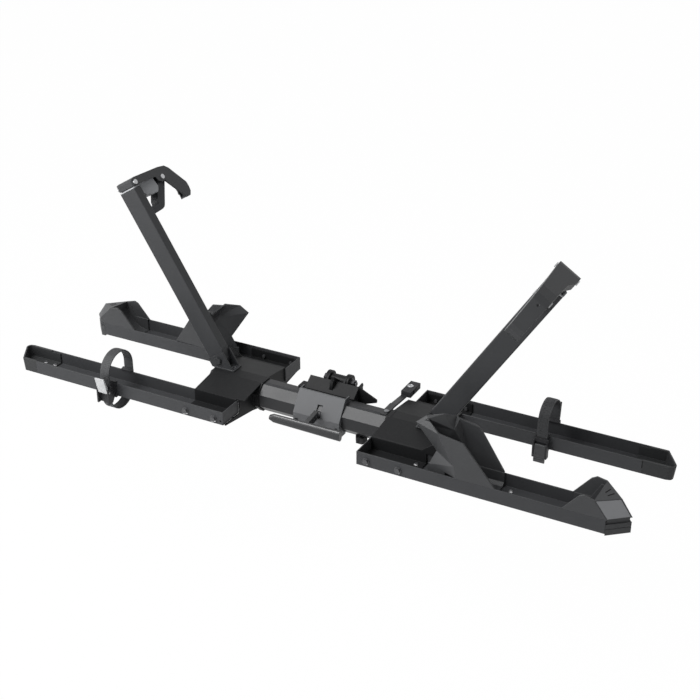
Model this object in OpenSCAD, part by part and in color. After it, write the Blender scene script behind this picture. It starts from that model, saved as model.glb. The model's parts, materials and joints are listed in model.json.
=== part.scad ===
// Platform rack that carries two bicycles on a towing hitch.
// Side modules are drawn for the right-hand side; the left one is the same turned half round.

/* [Beam] */
// Height and depth of the beam across its flats
beam_size = 70; // [66:1:76]
// Chamfer along each long edge of the beam
beam_chamfer = 20; // [16:1:22]
// Wall of the beam
beam_wall = 3.5; // [2.5:0.5:4.5]
// How far the beam runs past the bridges
beam_past = 4; // [2:1:24]
// Depth of each end cap outside the beam
beam_cap_t = 3; // [2:0.5:6]

/* [Trays] */
// Sheet thickness of the trays
tray_wall = 2.5; // [2:0.5:3.5]
// Height of the tray walls
tray_h = 33; // [28:1:38]
// Height of the tray rims above the beam axis
tray_top = 24; // [20:1:26]
// Distance from the beam axis to each tray's inner wall
tray_gap = 92; // [88:1:110]
// Width of the tray that holds the front wheel
cup_tray_w = 72; // [66:1:80]
// Width of the tray that holds the rear wheel
strap_tray_w = 68; // [60:1:76]
// Inner end of the front wheel tray
cup_tray_x = 165; // [160:1:167]
// Length of the front wheel tray from the start of its scoop
scoop_seat_l = 95; // [90:1:96]
// Inner end of the rear wheel tray
strap_tray_x = 185; // [180:1:195]
// Outer end of the rear wheel tray at its outer wall
strap_tray_end = 772; // [760:1:820]
// How much further out the inner wall of that tray ends
strap_tray_slant = 18; // [14:1:22]
// Length of the rear wheel tray's end cap
end_cap_l = 40; // [30:1:60]

/* [Wheel cup and scoop] */
// Where the cup's side walls start
cup_x = 402; // [395:1:420]
// Height of the cup above the tray rims
cup_h = 122; // [100:1:140]
// Length of the cup's side walls along the tray rims
cup_l = 90; // [80:1:110]
// Moulded wall of the cup and the scoop
mould_wall = 4; // [3:0.5:5]
// Where the right scoop's side walls start
right_scoop_x = 640; // [600:1:660]
// Where the left scoop's side walls start
left_scoop_x = 618; // [600:1:660]
// Height of the scoop's inner wall above the tray rims
scoop_h = 52; // [44:1:60]

/* [Bridges] */
// Sheet thickness of the bridge brackets
bridge_t = 2.5; // [2:0.5:3]
// Inner end of the bridge plate
bridge_x = 168; // [166:1:172]
// Length of the bridge plate along the beam
bridge_l = 136; // [130:1:140]

/* [Arms] */
// Where the right arm's centre line would meet the beam axis
right_arm_x = 252; // [248:1:256]
// Where the left arm's centre line would meet the beam axis
left_arm_x = 263; // [256:1:266]
// Lean of the right arm from upright in degrees
right_lean = 33.3; // [25:0.1:36]
// Lean of the left arm from upright in degrees
left_lean = 31.2; // [25:0.1:36]
// Distance of the arm's mid plane from the beam axis
arm_y = 15; // [15:0.5:18]
// Width of the arm tube along the beam
arm_w = 50; // [44:1:54]
// Depth of the arm tube across the beam
arm_d = 25; // [24:0.5:28]
// Wall of the arm tube
arm_wall = 3; // [2:0.5:3.5]
// Length of the arm tube above its pivot
arm_l = 457; // [420:1:480]
// Height of the arm's pivot above the beam's top face
arm_pivot_h = 23.5; // [23.5:0.5:27]
// Diameter of the arm's pivot bolt
arm_bolt_d = 10; // [8:1:12]
// Length of the sliding inner arm inside the tube
inner_arm_l = 392; // [380:1:396]

/* [Hook] */
// How far the right hook is slid out
right_hook_out = 28; // [0:1:120]
// How far the left hook is slid out
left_hook_out = 0; // [0:1:120]
// Reach of the hook from the arm to its crown
hook_reach = 142; // [130:1:150]
// Inside width of the hook channel
hook_gap = 48; // [46:0.5:56]
// How much the hook narrows on its inboard side towards its tip
hook_taper = 12; // [0:1:14]
// Plate thickness of the hook
hook_t = 3; // [2.5:0.5:4]
// Width of the trigger
trigger_w = 25; // [20:1:34]
// Diameter of the hook's two cross pins
hook_pin_d = 7; // [6:0.5:8]
// Diameter of the release rod inside the inner arm
latch_rod_d = 6; // [4:0.5:7]

/* [Tilt hinge] */
// Distance of the tilt pivot behind the beam axis
pivot_y = 66; // [66:0.5:70]
// Height of the tilt pivot above the beam axis
pivot_z = 48; // [48:0.5:50]
// Diameter of the tilt pivot bolt
pivot_d = 12; // [10:1:14]
// Inside width between the cheeks that take the hitch stem
stem_gap = 51.4; // [51:0.1:54]
// Plate thickness of the hinge
hinge_t = 5; // [4:0.5:6]
// Diameter of the two bolt holes for the hitch stem
stem_bolt_d = 13; // [11:0.5:14]
// Distance between those two holes
stem_bolt_gap = 30; // [28:1:32]
// Diameter of the lock rod
lock_d = 10; // [8:0.5:10]
// Half of the centre cover's length
cover_half = 62; // [56:1:66]
// Length of the pull handle
handle_l = 185; // [160:1:200]

/* [Strap] */
// Distance of the straps from the rack's centre
strap_x = 503; // [480:1:520]
// Width of the wheel strap
strap_w = 25; // [20:1:28]
// Thickness of the wheel strap
strap_t = 2.6; // [2:0.1:3]
// Height of the strap's crown above the tray rims
strap_top = 73; // [66:1:90]
// How much wider the loose left strap loops than the right one
loop_slack = 8; // [6:0.5:12]
// Length of the buckle's lever
lever_l = 42; // [34:1:44]

/* [Clearances] */
// Running gap between bodies that slide or swing
run_gap = 0.4; // [0.3:0.05:0.5]
// Radial clearance of a pin in its bore
pin_gap = 0.08; // [0.05:0.01:0.1]
// Seat clearance between fixed pieces
seat = 0.2; // [0.1:0.05:0.3]

/* [Hidden] */
SIDES = ["right", "left"];
$fn = 48;
eps = 0.01;

beam_r = beam_size / 2;
beam_flat = beam_r - beam_chamfer;
beam_half = bridge_x + bridge_l + beam_past;
tray_floor = tray_top - tray_h;
cup_out = -(tray_gap + cup_tray_w);
cup_mid = -(tray_gap + cup_tray_w / 2);
cup_in = -tray_gap;
strap_in = tray_gap + 1;
strap_mid = strap_in + strap_tray_w / 2;
strap_out = strap_in + strap_tray_w;
arm_pivot_z = beam_r + arm_pivot_h;
stem_bolt_y = pivot_y + 28;
stem_bolt_z = -33;
lock_z = 8;
function scoop_x(s) = s > 0 ? right_scoop_x : left_scoop_x;
function cup_tray_end(s) = scoop_x(s) + scoop_seat_l;
function arm_x(s) = s > 0 ? right_arm_x : left_arm_x;
function lean(s) = s > 0 ? right_lean : left_lean;
function pivot_x(s) = arm_x(s) + tan(lean(s)) * arm_pivot_z;

// The rack's origin is the middle of the upper hitch stem bolt.
module rack() {
    translate([0, -stem_bolt_y, -stem_bolt_z])
        children();
}

module side(s) {
    rack()
        rotate([0, 0, s > 0 ? 0 : 180])
            children();
}

// An outline in Y and Z drawn out along X.
module along_x(x0, x1) {
    translate([x0, 0, 0])
        rotate([90, 0, 90])
            linear_extrude(x1 - x0)
                children();
}

// An outline in X and Z drawn out along Y.
module along_y(y0, y1) {
    translate([0, y1, 0])
        rotate([90, 0, 0])
            linear_extrude(y1 - y0)
                children();
}

module box(a, b) {
    translate(a)
        cube(b - a);
}

module rod_x(x0, x1, y, z, d) {
    translate([x0, y, z])
        rotate([0, 90, 0])
            cylinder(h = x1 - x0, d = d);
}

module rod_y(y0, y1, x, z, d) {
    translate([x, y0, z])
        rotate([-90, 0, 0])
            cylinder(h = y1 - y0, d = d);
}

// A hexagon head with a round washer, its shank pointing down the local Z axis.
module bolt(d, af, head_h, len) {
    translate([0, 0, 1])
        cylinder(h = head_h, d = af / cos(30), $fn = 6);
    cylinder(h = 1 + eps, d = af * 1.45);
    translate([0, 0, -len])
        cylinder(h = len + eps, d = d);
}

// A closed shell from outer points and faces, each face clockwise seen from outside.
function face_n(p, f) = let (n = cross(p[f[2]] - p[f[0]], p[f[1]] - p[f[0]])) n / norm(n);
function point_n(p, faces, i) = let (
    ns = [for (f = faces) if (f[0] == i || f[1] == i || f[2] == i) face_n(p, f)],
    sum_n = [for (k = [0:2]) [for (n = ns) n[k]] * [for (n = ns) 1]],
    u = sum_n / norm(sum_n),
    low = min([for (n = ns) n * u])
) u / max(low, 0.45);

module shell(p, faces, t) {
    n = len(p);
    inner = [for (i = [0:n - 1]) p[i] - t * point_n(p, faces, i)];
    edges = [for (f = faces) for (k = [0:2]) [f[k], f[(k + 1) % 3]]];
    rim = [for (e = edges) if (len([for (g = edges) if (g[0] == e[1] && g[1] == e[0]) 1]) == 0) e];
    polyhedron(
        points = concat(p, inner),
        faces = concat(
            faces,
            [for (f = faces) [f[2] + n, f[1] + n, f[0] + n]],
            [for (e = rim) [e[1], e[0], e[0] + n]],
            [for (e = rim) [e[1], e[0] + n, e[1] + n]]
        )
    );
}

// Outline of the beam, grown by g on every side.
module beam_outline(g) {
    r = beam_r + g;
    c = beam_chamfer + g * (2 - sqrt(2));
    polygon([[r, c - r], [r, r - c], [r - c, r], [c - r, r], [-r, r - c], [-r, c - r], [c - r, -r],
        [r - c, -r]]);
}

module main_beam() {
    color("#35373a") rack() difference() {
        along_x(-beam_half, beam_half)
            beam_outline(0);
        along_x(-beam_half - 1, beam_half + 1)
            beam_outline(-beam_wall);
        rod_y(-beam_r - 1, beam_r + 1, 0, lock_z, lock_d + 2 * run_gap);
        translate([knob_x, knob_y, -beam_r - 1])
            cylinder(h = beam_wall + 2, d = knob_stem_d + 2 * pin_gap);
        for (p = frame_bolt_at)
            translate([p[0], p[1], beam_r - 10])
                cylinder(h = 12, d = frame_bolt_d + 0.4);
    }
}

module beam_end_caps() {
    color("#1c1d1f") rack()
        for (m = [0, 1]) mirror([m, 0, 0]) {
            along_x(beam_half + seat, beam_half + seat + beam_cap_t)
                beam_outline(0);
            along_x(beam_half - 12, beam_half + seat + eps)
                beam_outline(-beam_wall - seat);
        }
}

// Tilt hinge: the bracket takes the hitch stem, the saddle is welded to the beam.
sector_r = 44;
cheek_in = stem_gap / 2;
cheek_out = cheek_in + hinge_t;
ear_out = cheek_in - run_gap;
ear_in = ear_out - hinge_t;
ear_r = 20;
tilt_down = 25;
tilt_up = 90;
stem_front = pivot_y + 10;
stem_rear = pivot_y + 46;
stem_low = stem_bolt_z - stem_bolt_gap - 13;

module tilt_bracket() {
    color("#2b2c2e") rack() difference() {
        union() {
            for (m = [0, 1]) mirror([m, 0, 0])
                along_x(cheek_in, cheek_out)
                    union() {
                        translate([pivot_y, pivot_z])
                            circle(r = 20);
                        polygon([[pivot_y - 6, pivot_z - 19], [stem_front, pivot_z - 28], [stem_front, stem_low],
                            [stem_rear, stem_low], [stem_rear, stem_bolt_z + 13], [pivot_y + 20, pivot_z]]);
                    }
            along_x(-cheek_in - eps, cheek_in + eps)
                polygon([[stem_front, stem_low], [stem_front, pivot_z - 34], [stem_front + hinge_t, pivot_z - 36],
                    [stem_front + hinge_t, stem_low]]);
            rod_x(-ear_in + run_gap, ear_in - run_gap, pivot_y, pivot_z, 28);
            // index sector with a notch for each of the three rack positions
            along_x(-4, 4)
                difference() {
                    union() {
                        intersection() {
                            translate([pivot_y, pivot_z])
                                circle(r = sector_r);
                            translate([pivot_y, pivot_z])
                                polygon([[0, 0], 80 * [cos(143), sin(143)], 90 * [cos(190), sin(190)],
                                    90 * [cos(240), sin(240)], 80 * [cos(286), sin(286)]]);
                        }
                        polygon([[pivot_y + 2, pivot_z - 12], [stem_front + 2, pivot_z - 4], [stem_front + hinge_t, 4],
                            [pivot_y + 4, 4]]);
                    }
                    for (a = [0, -tilt_up, tilt_down])
                        translate([pivot_y, pivot_z])
                            rotate(a)
                                translate([-40, lock_z - pivot_z - lock_d / 2 - 0.6])
                                    square([23.4, lock_d + 1.2]);
                }
        }
        rod_x(-cheek_out - 1, cheek_out + 1, pivot_y, pivot_z, pivot_d + 2 * pin_gap);
        for (k = [0, 1])
            rod_x(-cheek_out - 1, cheek_out + 1, stem_bolt_y, stem_bolt_z - k * stem_bolt_gap, stem_bolt_d);
    }
}

module tilt_bolt() {
    color("#8d9094") rack() {
        rod_x(-cheek_out - 1, cheek_out + 14, pivot_y, pivot_z, pivot_d);
        translate([-cheek_out - 1, pivot_y, pivot_z])
            rotate([0, -90, 0])
                cylinder(h = 7, d = 19 / cos(30), $fn = 6);
    }
}

module tilt_nut() {
    color("#8d9094") rack() difference() {
        union() {
            rod_x(cheek_out, cheek_out + 1.5, pivot_y, pivot_z, 26);
            translate([cheek_out + 1.5 - eps, pivot_y, pivot_z])
                rotate([0, 90, 0])
                    cylinder(h = 9, d = 19 / cos(30), $fn = 6);
        }
        rod_x(cheek_out - 1, cheek_out + 20, pivot_y, pivot_z, pivot_d + 0.02);
    }
}

module saddle() {
    t = 3.4;
    g = seat;
    color("#303235") rack() difference() {
        union() {
            // sheet that wraps the beam's top and rear faces
            along_x(-cover_half - 3, cover_half + 3)
                difference() {
                    beam_outline(g + t);
                    beam_outline(g);
                    translate([-100, -100])
                        square([113, 300]);
                    translate([0, -100])
                        square([100, 90]);
                }
            for (m = [0, 1]) mirror([m, 0, 0])
                along_x(ear_in, ear_out)
                    difference() {
                        hull() {
                            translate([pivot_y, pivot_z])
                                circle(r = ear_r, $fn = 48);
                            polygon([[beam_flat, beam_r + 1], [beam_r + 1, beam_flat], [beam_r + 1, -8]]);
                        }
                        beam_outline(g);
                    }
            // sloping cover over the hinge
            along_x(-cover_half - 3, cover_half + 3)
                polygon([[13, beam_r + g], [13, beam_r + t + g], [41, 59], [43, 56], [24, beam_r - 4]]);
            // stiffening triangle on the right and the low ledge on the left
            along_x(cover_half, cover_half + 3)
                polygon([[14, beam_r + g], [42, 58], [60, 60], [64, 50], [beam_r + g, 6]]);
            along_y(38, 42)
                polygon([[cover_half, 12], [cover_half, 59], [cover_half + 3, 59], [112, 37], [112, 30]]);
            box([-84, 13, beam_r + g], [-cover_half, 40, beam_r + g + t]);
            box([-84, beam_r + g, 8], [-cover_half, 39, beam_r + g + t]);
        }
        rod_x(-200, 200, pivot_y, pivot_z, pivot_d + 2 * pin_gap);
        rod_x(-4 - 1, 4 + 1, pivot_y, pivot_z, 2 * sector_r + 2);
        for (m = [0, 1]) mirror([m, 0, 0])
            rod_x(cheek_in - run_gap, cheek_out + 1, pivot_y, pivot_z, 54);
        rod_y(0, 80, 0, lock_z, lock_d + 2 * run_gap);
        along_x(-200, 200)
            beam_outline(g - eps);
    }
}

// Sheet cover that leans against the front of the beam, a little left of the middle, with a slot for the
// handle's shank.
cover_t = 2.5;
cover_x0 = -cover_half - 2;
cover_x1 = cover_half - 4;
cover_top = 50;
cover_top_y = -14;
cover_front = -47;
slot_w = 13;
cover_bolt_x = [-56, 50];
cover_bolt_z = -18;

module cover_outline(g) {
    polygon([[6, cover_top - g], [cover_top_y + 0.53 * g, cover_top - g], [cover_front + g, 2 - 0.31 * g],
        [cover_front + g, -32], [-41 + g, -39.5 + g], [6, -39.5 + g]]);
}

module centre_cover() {
    color("#75787c") rack() difference() {
        along_x(cover_x0, cover_x1)
            cover_outline(0);
        along_x(cover_x0 + cover_t, cover_x1 - cover_t) {
            cover_outline(cover_t);
            translate([-9, 0])
                square([30, 60]);
        }
        along_x(cover_x0 - 1, cover_x1 + 1)
            beam_outline(seat);
        along_x(cover_x0 - 1, cover_x1 + 1)
            polygon([[-14, -60], [60, -60], [60, 35], [11, 35], [-14, -30]]);
        box([-slot_w / 2, -60, 2], [slot_w / 2, -20, 28]);
        for (x = cover_bolt_x)
            rod_y(-60, -40, x, cover_bolt_z, 5.4);
    }
}

module cover_bolts() {
    color("#2a2a2c") rack()
        for (x = cover_bolt_x)
            translate([x, cover_front, cover_bolt_z])
                rotate([90, 0, 0])
                    bolt(5, 8, 4, -cover_front - beam_r - 0.3);
}

// Handle: a rounded bar across the end of a flat shank, on the rod that locks the hinge.
shank_t = 11;
shank_y = -46.5;
lock_pull = 12;
spring_end = -9;
spring_collar_y = spring_end + lock_pull + 1;

module pull_handle() {
    half = handle_l / 2;
    color("#5c5f63") rack() {
        translate([-2, -100, 7])
            hull() {
                for (x = [-half + 10, half - 5])
                    for (z = [-6, 6])
                        translate([x, 0, z])
                            rotate([0, 90, 0])
                                cylinder(h = 5, r = x < 0 ? 5 : 7, $fn = 28);
                translate([-half, 0, 0])
                    rotate([0, 90, 0])
                        cylinder(h = 5, r = 6, $fn = 28);
            }
        along_x(-shank_t / 2, shank_t / 2)
            polygon([[shank_y, 13], [shank_y - 2, 23], [-94, 17], [-94, 0], [-80, 2], [-50, 4.5], [shank_y, 4]]);
    }
}

module lock_rod() {
    color("#a5a8ab") rack() {
        rod_y(shank_y + eps, 38.6, 0, lock_z, lock_d);
        // collar that the return spring pushes on
        rod_y(spring_collar_y, spring_collar_y + 4, 0, lock_z, lock_d + 6);
    }
}

// Return spring round the rod, drawn at its shortest.
module lock_spring() {
    color("#9a9da1") rack() difference() {
        rod_y(-beam_r + beam_wall + 2.4, spring_end, 0, lock_z, lock_d + 5);
        rod_y(-beam_r, 0, 0, lock_z, lock_d + 2 * run_gap);
    }
}

// Flat-headed bolts that hold the arm brackets, the bridges and the cable bar on the beam.
frame_bolt_d = 6;
frame_head_d = 11.4;
bracket_bolt_dx = [-34, -10];
bar_bolt = [157, 0];
frame_bolt_at = concat([for (s = [1, -1]) for (dx = bracket_bolt_dx) s * [pivot_x(s) + dx, -arm_y]], [bar_bolt]);
bracket_z = beam_r + seat + bridge_t + 0.1;
bracket_t = 3;
block_z = beam_r + seat + 4;

module frame_bolts() {
    color("#6d7074") rack()
        for (i = [0:len(frame_bolt_at) - 1]) {
            p = frame_bolt_at[i];
            top = i < 4 ? bracket_z + bracket_t : block_z + 2.4;
            translate([p[0], p[1], top - 2.2])
                cylinder(h = 2.2, d = frame_head_d);
            translate([p[0], p[1], beam_r - 9])
                cylinder(h = top - beam_r + 8, d = frame_bolt_d);
        }
}

// Hand screw under the beam.
knob_x = 98;
knob_y = -10;
knob_stem_d = 8;

module stay_knob() {
    color("#1b1b1d") rack() translate([knob_x, knob_y, -beam_r]) {
        translate([0, 0, -18])
            cylinder(h = 17, r = 12);
        for (a = [0:60:300])
            rotate(a)
                translate([11, 0, -17])
                    cylinder(h = 15, r = 4);
        translate([0, 0, -2])
            cylinder(h = 2 - run_gap, r = 7);
        translate([0, 0, -2])
            cylinder(h = beam_wall + 8, d = knob_stem_d);
    }
}

// Cable lock: flat bar on the beam, block at its end and a key barrel in the block.
bar_x0 = 147;
bar_x1 = 163;
cable_block_l = 54;
cable_block_y = 96;
cable_block_low = beam_r - 5;
barrel_at = [157, 126];
barrel_d = 15;

module cable_bar() {
    color("#4a4c50") rack() difference() {
        union() {
            box([bar_x0, -14, beam_r + seat], [bar_x1, 40, block_z]);
            along_x(bar_x0 + 2, bar_x1)
                polygon([[30, beam_r + seat], [90, cable_block_low + 1], [104, cable_block_low + 1],
                    [104, cable_block_low + 5], [90, cable_block_low + 5], [40, block_z], [30, block_z]]);
        }
        translate([bar_bolt[0], bar_bolt[1], 0])
            cylinder(h = 80, d = frame_bolt_d + 0.4);
    }
}

module cable_block() {
    color("#232426") rack() difference() {
        box([bar_x0, cable_block_y, cable_block_low], [bar_x1 + 9, cable_block_y + cable_block_l, cable_block_low + 14]);
        // pocket for the bar's end
        box([bar_x0 + 2 - seat, cable_block_y - 1, cable_block_low + 1 - seat],
            [bar_x1 + seat, 104 + seat, cable_block_low + 5 + seat]);
        translate([barrel_at[0], barrel_at[1], cable_block_low + 4])
            cylinder(h = 40, d = barrel_d + 2 * pin_gap);
        rod_x(100, 200, 111, cable_block_low + 8, 8);
    }
}

module cable_lock_barrel() {
    color("#9a9da1") rack() difference() {
        translate([barrel_at[0], barrel_at[1], cable_block_low + 4 + seat])
            cylinder(h = 10.5, d = barrel_d);
        box([barrel_at[0] - 4, barrel_at[1] - 0.8, cable_block_low + 11], [barrel_at[0] + 4, barrel_at[1] + 0.8, 90]);
    }
}

// Bridge: one folded sheet over the beam, with a cradle in each tray, ribs and a collar.
liner = tray_wall + seat;
bridge_x1 = bridge_x + bridge_l;
strap_wing_x = max(bridge_x, strap_tray_x) + tray_wall + 0.5;
rib_t = 3;

module wing_outline(m, w) {
    // m is the side of the beam, w the width of the tray on that side
    z0 = beam_r + seat;
    z1 = tray_top + seat;
    t = bridge_t;
    f = tray_floor + tray_wall + seat;
    near = m < 0 ? tray_gap : strap_in;
    scale([m, 1])
        polygon([[beam_flat, z0], [near - 1, z1], [near + liner, z1], [near + liner, f],
            [near + w - liner, f], [near + w - liner, tray_top - 6], [near + w - liner - t, tray_top - 6],
            [near + w - liner - t, f + t], [near + liner + t, f + t], [near + liner + t, z1 + t],
            [near, z1 + t], [beam_flat, z0 + t]]);
}

module rib_outline(m, w) {
    near = m < 0 ? tray_gap : strap_in;
    scale([m, 1])
        polygon([[beam_flat - 3, beam_r + seat + 1], [near - seat, tray_top], [near - seat, tray_floor - seat],
            [near + w - 6, tray_floor - seat], [near + w - 6, tray_floor - 3], [beam_r + 2, -beam_r + 4],
            [beam_flat, -beam_r - 2]]);
}

module bridge(s) {
    color("#2c2d30") side(s) difference() {
        union() {
            along_x(bridge_x, bridge_x1) {
                translate([-beam_flat - 0.5, beam_r + seat])
                    square([2 * beam_flat + 1, bridge_t]);
                wing_outline(-1, cup_tray_w);
            }
            along_x(strap_wing_x, bridge_x1)
                wing_outline(1, strap_tray_w);
            along_x(bridge_x, strap_wing_x + eps)
                intersection() {
                    wing_outline(1, strap_tray_w);
                    square([2 * strap_in, 200], center = true);
                }
            for (x = [bridge_x + 0.5, bridge_x1 - rib_t - 2])
                along_x(x, x + rib_t)
                    difference() {
                        rib_outline(-1, cup_tray_w);
                        beam_outline(seat);
                    }
            for (x = [strap_tray_x - rib_t, bridge_x1 - rib_t - 2])
                along_x(x, x + rib_t)
                    difference() {
                        rib_outline(1, strap_tray_w);
                        beam_outline(seat);
                    }
            along_x(bridge_x - 4, bridge_x + 7)
                difference() {
                    beam_outline(seat + 3);
                    beam_outline(seat);
                }
            // eye beside the cup
            along_y(-tray_gap - liner - bridge_t, -tray_gap - liner)
                polygon([[bridge_x1 - 12, tray_top - 4], [bridge_x1 - 12, tray_top + 3], [bridge_x1 + 19, tray_top + 27],
                    [bridge_x1 + 30, tray_top - 2], [bridge_x1 + 30, tray_top - 4]]);
        }
        for (x = tray_bolt_x) {
            rod_y(cup_out, cup_out + 10, x, 5, 8.3);
            rod_y(strap_out - 10, strap_out, x + 22, 3, 8.3);
        }
        for (dx = bracket_bolt_dx)
            translate([pivot_x(s) + dx, -arm_y, beam_r - 5])
                cylinder(h = 15, d = frame_bolt_d + 0.4);
        translate([screw_x[0], cup_mid + 17, tray_floor])
            cylinder(h = 10, d = 5.4);
        rod_y(-110, -80, bridge_x1 + 20, tray_top + 17, 5);
    }
}

// Bolts and screws that hold the trays.
tray_bolt_x = [189, 267];
screw_x = [286, cup_x + cup_l + 17];

module tray_bolts(s) {
    color("#55585c") side(s) {
        for (x = tray_bolt_x) {
            translate([x, cup_out, 5])
                rotate([90, 0, 0])
                    bolt(8, 12, 5, 9);
            translate([x + 22, strap_out, 3])
                rotate([-90, 0, 0])
                    bolt(8, 12, 5, 9);
        }
        for (x = screw_x)
            translate([x, cup_mid + 17, tray_floor + tray_wall + (x < bridge_x1 ? seat + bridge_t : 0)])
                screw();
        for (x = cap_screw_x)
            translate([x, strap_mid - 14, tray_floor + tray_wall + (x > cap_x0 - 26 ? seat + mould_wall - 1 : 0)])
                screw();
    }
}

module screw() {
    cylinder(h = 2.6, d1 = 10, d2 = 7);
    translate([0, 0, -8])
        cylinder(h = 8 + eps, d = 5);
}

module tray_channel(y0, y1, x0, x1) {
    along_x(x0, x1)
        difference() {
            translate([y0, tray_floor])
                square([y1 - y0, tray_h]);
            translate([y0 + tray_wall, tray_floor + tray_wall])
                square([y1 - y0 - 2 * tray_wall, tray_h]);
        }
}

module wheel_tray(s) {
    color("#2f3134") side(s) difference() {
        union() {
            tray_channel(cup_out, cup_in, cup_tray_x, cup_tray_end(s));
            box([cup_tray_x, cup_out, tray_floor], [cup_tray_x + tray_wall, cup_in, tray_top]);
        }
        for (x = screw_x)
            translate([x, cup_mid + 17, tray_floor - 1])
                cylinder(h = 5, d = 5.4);
        for (x = tray_bolt_x)
            rod_y(cup_out - 1, cup_out + 5, x, 5, 8.4);
    }
}

// Front wheel cup: side walls flush with the tray, and a flared panel that closes its inner end.
module cup_shell() {
    z0 = tray_top + seat;
    function at(x, y, k) = [cup_x + x, y, z0 + k * cup_h];
    w = cup_tray_w;
    p = [at(cup_l, cup_out, 0), at(15, cup_out, 0.73), at(1, cup_out, 0.75), at(-43, cup_out, 0.8),
        at(-5, cup_out, 0.23), at(0, cup_out, 0), at(-83, cup_out + 0.36 * w, 0.98),
        at(-104, cup_out + 0.28 * w, 0.83), at(-52, cup_out + 0.63 * w, 1), at(-34, cup_in + 7, 0.85),
        at(-31, cup_out + 0.76 * w, 0.7), at(-23, cup_in, 0.87), at(13, cup_in, 0.82),
        at(23, cup_in, 0.79), at(33, cup_in, 0.68), at(cup_l - 5, cup_in, 0.02), at(0, cup_in, 0),
        at(-2, cup_in, 0.23), at(-61, cup_mid, 0.27), at(-75, cup_mid - 6, 0)];
    faces = [[0, 5, 4], [0, 4, 3], [0, 3, 2], [0, 2, 1], [3, 4, 18], [4, 5, 19], [4, 19, 18], [3, 18, 7],
        [3, 7, 6], [6, 7, 10], [6, 10, 8], [8, 10, 9], [10, 7, 18], [9, 10, 11], [10, 18, 17],
        [10, 17, 11], [18, 19, 17], [17, 19, 16], [17, 16, 15], [11, 17, 15], [11, 15, 14],
        [11, 14, 13], [11, 13, 12]];
    shell(p, faces, mould_wall);
}

module wheel_cup(s) {
    g = tray_wall + seat;
    f = tray_floor + tray_wall + seat;
    color("#3d3f42") side(s) {
        difference() {
            cup_shell();
            box([cup_x - 200, -400, -50], [cup_x + 200, 0, tray_top + seat]);
        }
        // trough inside the tray, its inner end a wedge
        difference() {
            union() {
                box([cup_x - 2, cup_out + g, f], [cup_x + cup_l - 4, cup_in - g, tray_top + seat + 2]);
                translate([0, 0, f])
                    linear_extrude(tray_top + seat + 2 - f)
                        polygon([[cup_x, cup_out + g], [cup_x - 77, cup_mid - 6], [cup_x, cup_in - g]]);
            }
            along_x(cup_x - 30, cup_x + cup_l)
                polygon([[cup_out + g + 3, tray_top + 10], [cup_out + g + 3, f + 9], [cup_out + g + 12, f + 3],
                    [cup_in - g - 12, f + 3], [cup_in - g - 3, f + 9], [cup_in - g - 3, tray_top + 10]]);
            translate([0, 0, f + 3])
                linear_extrude(80)
                    polygon([[cup_x + 3, cup_out + g + 4], [cup_x - 68, cup_mid - 6], [cup_x + 3, cup_in - g - 4]]);
        }
    }
}

// Scoop at the tray's outer end, with a curved stop for the wheel and a pointed nose.
module wheel_scoop(s) {
    g = tray_wall + seat;
    f = tray_floor + tray_wall + seat;
    z0 = tray_top + seat;
    x0 = scoop_x(s);
    near = [[x0, z0], [x0 + 35, 65], [x0 + 45, 69], [x0 + 67, 63], [x0 + 97, z0]];
    far = [[x0, z0], [x0 + 37, 69], [x0 + 49, tray_top + scoop_h], [x0 + 71, 72],
        [x0 + 106, 37], [x0 + 106, z0]];
    nose_x = cup_tray_end(s) + seat;
    color("#3d3f42") side(s) {
        along_y(cup_out, cup_out + mould_wall)
            polygon(near);
        along_y(cup_in - mould_wall, cup_in)
            polygon(far);
        difference() {
            union() {
                box([x0 + 4, cup_out + g, f], [cup_tray_end(s) - 3, cup_in - g, z0 + 2]);
                along_y(cup_out + 1, cup_in - 1)
                    polygon([[x0 + 40, z0], [x0 + 60, 62], [x0 + 67, 62], [x0 + 90, z0]]);
            }
            along_y(cup_out + g + 3, cup_in - g - 3)
                translate([x0 + 2, f + 66 + 1])
                    circle(r = 66);
        }
        translate([x0, 0, 0])
            hull()
                polyhedron(
                    points = [[66, cup_out, z0], [67, cup_out, 63], [97, cup_out, z0], [114, cup_mid, 61],
                        [140, cup_mid, z0], [71, cup_in, 72], [106, cup_in, 37], [106, cup_in, z0],
                        [66, cup_in, z0]],
                    faces = [[0, 1, 2], [3, 4, 5], [6, 7, 8]]
                );
        translate([0, 0, tray_top - 13])
            linear_extrude(13 + seat + eps)
                polygon([[nose_x, cup_out + 4], [x0 + 135, cup_mid], [x0 + 103, cup_in - 4],
                    [nose_x, cup_in - 4]]);
        for (z = [[tray_floor - 4, 14], [tray_floor + 11, 11]])
            translate([0, 0, z[0]])
                linear_extrude(z[1])
                    polygon([[nose_x, cup_out], [x0 + 139, cup_mid], [x0 + 106, cup_in], [nose_x, cup_in]]);
        translate([0, 0, tray_floor + 9])
            linear_extrude(3)
                polygon([[nose_x, cup_out + 2], [x0 + 136, cup_mid], [x0 + 104, cup_in - 2],
                    [nose_x, cup_in - 2]]);
    }
}

// Rear wheel tray and its end cap share one slanting, leaning end.
cap_x0 = strap_tray_end - end_cap_l;
cap_screw_x = [cap_x0 - 19, cap_x0 + 10];
end_lean = 7;

tip_r = 12;
tip_reach = 14;

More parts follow.
